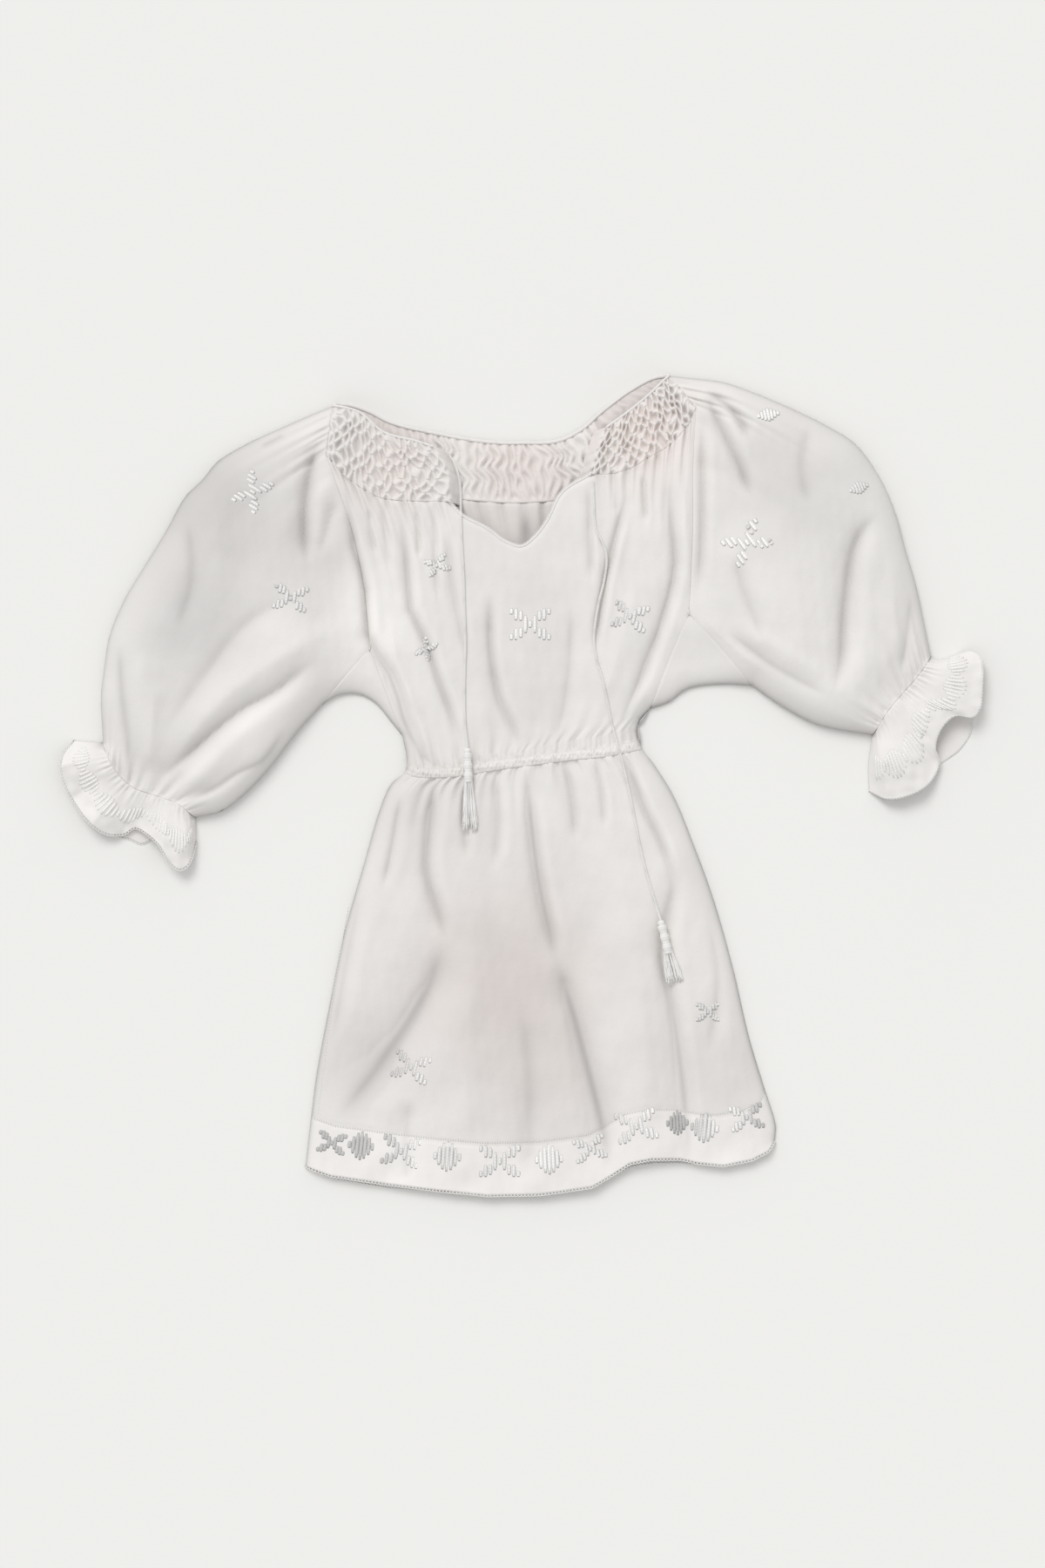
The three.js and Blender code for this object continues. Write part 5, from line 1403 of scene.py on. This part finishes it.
class DRESS_OT_stage(Make, bpy.types.Operator):
    """Adds the pale floor, the soft lights and the camera above the dress"""
    bl_idname = "dress.stage"
    bl_label = "Stage"

    def make(self):
        scene = bpy.context.scene
        mesh = bpy.data.meshes.new("floor")
        mesh.from_pydata([(-4, -4, 0), (4, -4, 0), (4, 4, 0), (-4, 4, 0)], [], [(0, 1, 2, 3)])
        floor = bpy.data.objects.new("floor", mesh)
        mesh.materials.append(floor_finish())
        scene.collection.objects.link(floor)
        camera = bpy.data.objects.new("camera", bpy.data.cameras.new("camera"))
        camera.data.sensor_fit = "VERTICAL"
        camera.data.sensor_height = 36
        camera.data.lens = camera.data.sensor_height * CAMERA_HEIGHT / FRAMED_HEIGHT
        camera.location = (0, 0, CAMERA_HEIGHT)
        scene.collection.objects.link(camera)
        scene.camera = camera
        light = bpy.data.lights.new("window", "SUN")
        light.energy, light.angle = WINDOW_LIGHT, WINDOW_SOFTNESS
        window = bpy.data.objects.new("window", light)
        window.rotation_euler = aimed((-0.35, 0.75, 1.0))
        scene.collection.objects.link(window)
        world = bpy.data.worlds.new("soft_room")
        world.use_nodes = True
        background = world.node_tree.nodes["Background"]
        background.inputs["Color"].default_value = (1, 1, 1, 1)
        background.inputs["Strength"].default_value = ROOM_LIGHT
        scene.world = world
        scene.view_settings.view_transform = "Standard"


class DRESS_OT_skirt(Make, bpy.types.Operator):
    """Adds the skirt, front and back, with its doubled border and looped hem"""
    bl_idname = "dress.skirt"
    bl_label = "Skirt"

    def make(self):
        front, back, shade = skirt_grids()
        ring_sheet("skirt_cloth", (front, back, shade), "cotton", ("skirt_front", "skirt_back"), (1.0, 0.46),
                   0.40, ["waist_casing"])
        rows = np.linspace(0, 1, len(SKIRT_DOWN))
        border_row = np.interp(1 - BORDER_DEPTH / SKIRT_LENGTH, SKIRT_DOWN, rows)
        stitch = stitches_along(on_grid(front, np.linspace(0.01, 0.99, 400),
                                        np.full(400, border_row))[:, :2], 2.6, 2.2, 90)
        satin("skirt_hemstitch", stitch, 0.9, 0.5, light=0.85)
        for name, grid, size in (("front", front, 2.2), ("back", back, 2.0)):
            edge = spread(grid[-1], np.linspace(0, 1, 400))
            loops(f"skirt_{name}_edging", edge, 3.6, size, 0.9, -1)


class DRESS_OT_bodice(Make, bpy.types.Operator):
    """Adds the bodice's front and its back"""
    bl_idname = "dress.bodice"
    bl_label = "Bodice"

    def make(self):
        front, shade = bodice_front_grid()
        sheet("bodice_front_cloth", front, "cotton", ("bodice_front",), "cotton", (0.42, 0.30), 0.105, shade,
              held="gathered", rests_on=["bodice_back"])
        (yoke, yoke_shade), (back, back_shade) = back_grids()
        sheet("bodice_back_cloth", back, "lining", ("bodice_back",), "lining", (0.42, 0.34), 0.105,
              back_shade, held="gathered")
        sheet("yoke_back_cloth", yoke, "smocking", ("yoke_back",), "smocking", (0.62, 0.07), None,
              yoke_shade, held="gathered")


class DRESS_OT_yokes(Make, bpy.types.Operator):
    """Adds the two smocked front yokes"""
    bl_idname = "dress.yokes"
    bl_label = "Smocked yokes"

    def make(self):
        for name, side in SIDES:
            grid, shade = yoke_grid(name, side)
            turned, dim = faced(grid, shade, side)
            sheet(f"yoke_front_{name}_smocked", turned, "smocking", (f"yoke_front_{name}",), "smocking",
                  (0.24, 0.065), None, dim, held="gathered", rests_on=["yoke_back"])
            satin(f"smocking_{name}_stitches", smocking_stitches(name, grid), 1.1, light=0.9)


class DRESS_OT_sleeves(Make, bpy.types.Operator):
    """Adds the puffed sleeves and their underarm gussets"""
    bl_idname = "dress.sleeves"
    bl_label = "Sleeves and gussets"

    def make(self):
        gussets = ((101, (0.085, 0.075), 0.0045), (121, (0.11, 0.10), 0.0090))
        for (name, side), (seed, cut, area) in zip(SIDES, gussets):
            ring_sheet(f"sleeve_{name}_cloth", sleeve_grids(side, seed), "cotton", (f"sleeve_{name}",),
                       (0.50, 0.36), 0.175)
            grid, shade = gusset_grid(side)
            sheet(f"gusset_{name}_cloth", grid, "cotton", (f"gusset_{name}",), "cotton", cut, area, shade,
                  grid[:GUSSET_ROWS], held="folded")


class DRESS_OT_frills(Make, bpy.types.Operator):
    """Adds the cuff frills with their stitched bands and looped edges"""
    bl_idname = "dress.frills"
    bl_label = "Cuff frills"

    def make(self):
        for (name, side), flutes, seed in zip(SIDES, (RIGHT_FLUTES, LEFT_FLUTES), (141, 151)):
            front, back, shade = frill_grids(side, flutes, seed)
            ring_sheet(f"cuff_frill_{name}_cloth", (front, back, shade), "border", (f"cuff_frill_{name}",),
                       (0.46, 0.055), None)
            across = np.linspace(0.06, 0.94, 46)
            half = 0.06 + 0.13 * np.abs(np.sin(np.arange(46) * math.pi / 7))
            t = np.linspace(0, 1, len(BAR_TAPER))[None]
            down = (0.56 - half)[:, None] * (1 - t) + (0.56 + half)[:, None] * t
            paths = on_grid(front, np.broadcast_to(across[:, None], down.shape), down)
            strands(f"cuff_{name}_embroidery", paths + (0, 0, 0.15), 2.3, 0.7, 6, "thread", BAR_TAPER, True,
                    1.06)
            for which, grid, size in (("front", front, 2.0), ("back", back, 1.8)):
                edge = spread(grid[-1], np.linspace(0, 1, 300))
                loops(f"cuff_{name}_{which}_edging", edge, 3.4, size, 0.85, -1)


class DRESS_OT_waist(Make, bpy.types.Operator):
    """Adds the waist's elastic casing"""
    bl_idname = "dress.waist"
    bl_label = "Waist casing"

    def make(self):
        ring_sheet("waist_casing_cloth", casing_grids(), "border", ("waist_casing",), (0.62, 0.012), None,
                   ["bodice_back"])


class DRESS_OT_edges(Make, bpy.types.Operator):
    """Adds the neck's binding, the slit's crocheted edge and the seams"""
    bl_idname = "dress.edges"
    bl_label = "Bindings and seams"

    def make(self):
        binding("neck_binding_back", curve(BACK_NECK, 300), 3.4, 1.8, 5, 0.3, material="cotton")
        for name, side in SIDES:
            binding(f"neck_binding_{name}", curve(side["neck"], 200), 2.4, 1.6, 6, -0.4, material="cotton")
        line = curve(SLIT, 200)
        binding("slit_binding", line, 2.2, 1.6, 10, 0.0)
        edge = at_height(line, relief.top(line, 1.2) + 0.2)
        loops("slit_edging", edge, 3.4, 2.2, 0.9, 1)
        side_seam = curve([(-184, -129), (-200, -226), (-216, -348)], 120)
        satin("side_seam_stitches", stitches_along(side_seam, 3.4, 1.7), 0.8, 0.6)


class DRESS_OT_embroidery(Make, bpy.types.Operator):
    """Adds the white satin-stitch figures of the border, chest, sleeves and skirt"""
    bl_idname = "dress.embroidery"
    bl_label = "Embroidery"

    def make(self):
        for name, figures in (("border", BORDER_FIGURES), ("panel", SINGLE_FIGURES)):
            bars, light = figure_bars(figures)
            satin(f"{name}_embroidery", bars, sizes().bar, light=light, shadow_rim=1.0)


class DRESS_OT_ties(Make, bpy.types.Operator):
    """Adds the two twisted ties and their tassels"""
    bl_idname = "dress.ties"
    bl_label = "Ties and tassels"

    def make(self):
        for name, route, tassel in (("right", RIGHT_TIE, RIGHT_TASSEL), ("left", LEFT_TIE, LEFT_TASSEL)):
            tie, head, threads, path = tie_and_tassel(name, route, tassel)
            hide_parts(f"tie_cord_{name}")
            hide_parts(f"tassel_{name}")


class DRESS_PT_panel(bpy.types.Panel):
    """Lists the dress's pieces and its sizes"""
    bl_label = "Peasant dress"
    bl_idname = "DRESS_PT_panel"
    bl_space_type = "VIEW_3D"
    bl_region_type = "UI"
    bl_category = "Dress"

    def draw(self, context):
        for group in (context.scene.dress_sizes, context.scene.dress_colours):
            for key in group.__annotations__:
                self.layout.prop(group, key)
        for operator in OPERATORS:
            self.layout.operator(operator.bl_idname)


OPERATORS = (DRESS_OT_stage, DRESS_OT_bodice, DRESS_OT_yokes, DRESS_OT_sleeves, DRESS_OT_frills,
             DRESS_OT_waist, DRESS_OT_skirt, DRESS_OT_edges, DRESS_OT_embroidery, DRESS_OT_ties)
CLASSES = (DressSizes, DressColours, *OPERATORS, DRESS_PT_panel)


def register():
    for cls in CLASSES:
        bpy.utils.register_class(cls)
    bpy.types.Scene.dress_sizes = bpy.props.PointerProperty(type=DressSizes)
    bpy.types.Scene.dress_colours = bpy.props.PointerProperty(type=DressColours)


def unregister():
    del bpy.types.Scene.dress_sizes
    del bpy.types.Scene.dress_colours
    for cls in reversed(CLASSES):
        bpy.utils.unregister_class(cls)


def main():
    register()
    for operator in OPERATORS:
        group, name = operator.bl_idname.split(".")
        getattr(getattr(bpy.ops, group), name)()


if __name__ == "__main__":
    main()
